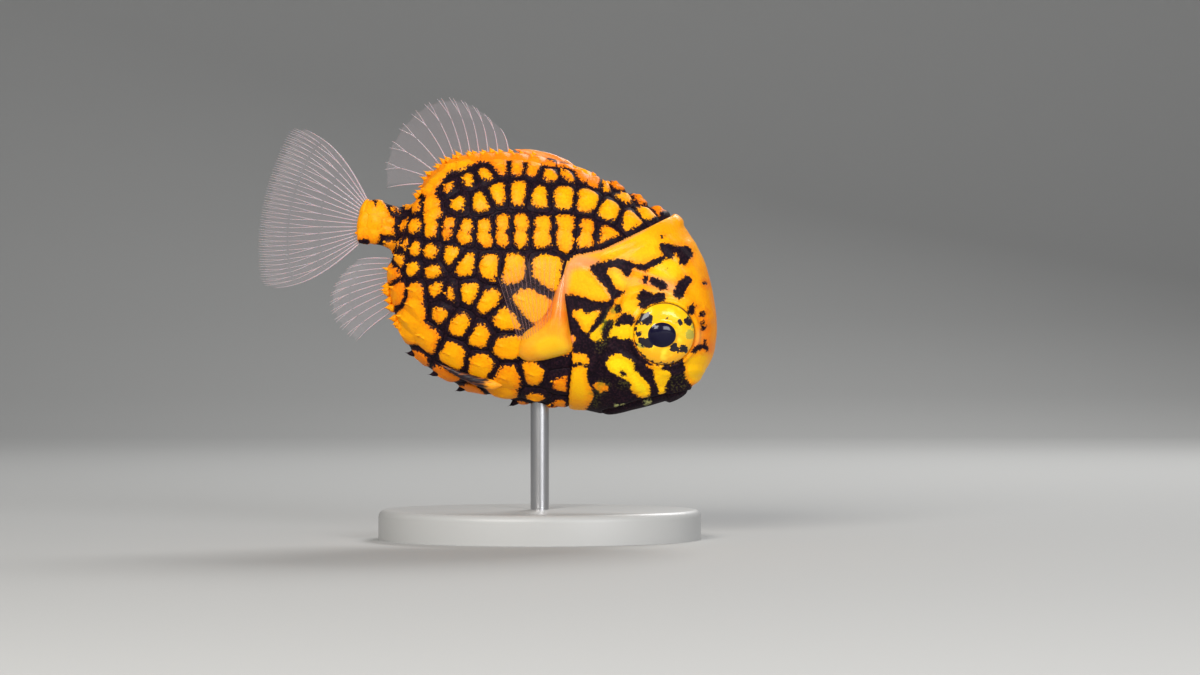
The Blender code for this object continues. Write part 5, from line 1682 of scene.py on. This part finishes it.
def steel_rod(belly):
    """The rod, from inside the base to just inside the belly over it."""
    bm = cylinder(ROD_SEGMENTS, (rod_high[0] - rod_low[0]) / 2)
    for vert in bm.verts:
        vert.co.x += (rod_low[0] + rod_high[0]) / 2
        if vert.co.z < 0:
            vert.co.z = base_high[2] - ROD_IN_BASE
        else:
            hit = belly.ray_cast(Vector((vert.co.x, vert.co.y, 0)), Vector((0, 0, 1)))[0]
            vert.co.z = hit.z + ROD_IN_BELLY
    return bm


posed = bmesh.new()
posed.from_mesh(skin)
belly = BVHTree.FromBMesh(posed)
posed.free()
SATIN = plain("stand_satin", Base_Color=(0.42, 0.42, 0.41, 1), Roughness=0.42)
STEEL = plain("rod_steel", Base_Color=(0.55, 0.55, 0.56, 1), Roughness=0.28, Metallic=1.0)
for node, bm, material, slot in (("stand_base", oval_base(), SATIN, "stand_paint"),
                                 ("stand_rod", steel_rod(belly), STEEL, "rod_steel")):
    mesh = as_mesh(bm, node)
    add_piece(node + "_look", mesh, material, slot, (node,))
    mesh.set_sharp_from_angle(angle=math.radians(40))

# %% [markdown]
# ## A plain floor, soft light and the photo's own view
# A studio look: a pale floor that runs back into a pale wall, one large soft light high on the left
# where the photo's flash glints come from, a weaker one on the right and a rim light from behind.
# A long lens from the photo's angle, level with the fish, keeps its outline as the photo has it.

# %% The backdrop
PALE = (0.42, 0.42, 0.41, 1)
FLOOR_FROM, FLOOR_TO = -0.6, 0.9       # the sheet's two ends, measured along it from the fish
FLOOR_LONGER = 4                       # far past the camera, for views from behind
BEND_FROM, BEND_TO, BEND_ROUND = 0.25, 0.55, 0.19
FLOOR_WIDER = 1.2


def backdrop():
    """A floor that curves up into a wall behind the fish."""
    bm = bmesh.new()
    bmesh.ops.create_grid(bm, x_segments=1, y_segments=40, size=1.0)
    for vert in bm.verts:
        along = FLOOR_FROM + (FLOOR_TO - FLOOR_FROM) * (vert.co.y + 1) / 2
        if along < 0:
            along *= FLOOR_LONGER
        turn = min(max((along - BEND_FROM) / (BEND_TO - BEND_FROM), 0.0), 1.0) * math.pi / 2
        vert.co = (vert.co.x * FLOOR_WIDER, min(along, BEND_FROM) + BEND_ROUND * math.sin(turn),
                   BEND_ROUND * (1 - math.cos(turn)) + max(along - BEND_TO, 0.0))
    bm.normal_update()
    mesh = as_mesh(bm, "backdrop")
    mesh.materials.append(plain("pale_paper", Base_Color=PALE, Roughness=0.85))
    mesh.shade_smooth()
    return mesh


in_scene("backdrop", backdrop())

# %% Lights
AIM = Vector((0, 0, 0.02))             # the middle of the fish, which every light faces
# name, place, width and height, watts and colour
LAMPS = (("key", (-0.10, -0.27, 0.17), (0.14, 0.12), 0.88, (1.0, 0.97, 0.92)),
         ("fill", (0.17, -0.27, 0.10), (0.14, 0.12), 0.58, (0.96, 0.97, 1.0)),
         ("rim", (0.10, 0.20, 0.20), (0.14, 0.08), 0.55, (1.0, 1.0, 1.0)))


def new_light(name, place, size, power, colour):
    """A soft rectangular light at a place, turned to the fish."""
    made = bpy.data.lights.new(name, "AREA")
    made.shape = "RECTANGLE"
    made.size, made.size_y = size
    made.energy, made.color = power, colour
    lamp = in_scene(name, made)
    lamp.location = place
    lamp.rotation_euler = (AIM - Vector(place)).to_track_quat("-Z", "Y").to_euler()


for lamp in LAMPS:
    new_light(*lamp)
world = bpy.data.worlds.new("studio")
world.use_nodes = True
sky = world.node_tree.nodes["Background"].inputs
sky["Color"].default_value = (0.90, 0.93, 1.0, 1)
sky["Strength"].default_value = 0.20
bpy.context.scene.world = world
bpy.context.scene.view_settings.view_transform = "Standard"
print("lights:", [name for name, *_ in LAMPS])

# %% The camera
LENS, SENSOR = 100.0, 36.0
VIEW_WIDE = 1200 * PX          # the photo's frame is this wide at the fish
CAMERA_FAR = VIEW_WIDE * LENS / SENSOR
PHOTO_MIDDLE = (600.0, 337.5)
camera = bpy.data.cameras.new("photo_view")
camera.lens, camera.sensor_width = LENS, SENSOR
camera.clip_start, camera.clip_end = 0.01, 10.0
view = in_scene("photo_view", camera)
view.location = (TAIL_ROOT[0] + (PHOTO_MIDDLE[0] - PHOTO_ROOT[0]) * PX, -CAMERA_FAR,
                 TAIL_ROOT[2] - (PHOTO_MIDDLE[1] - PHOTO_ROOT[1]) * PX)
view.rotation_euler = (math.pi / 2, 0, 0)
bpy.context.scene.camera = view
print("camera", round(CAMERA_FAR, 3), "m from the fish")
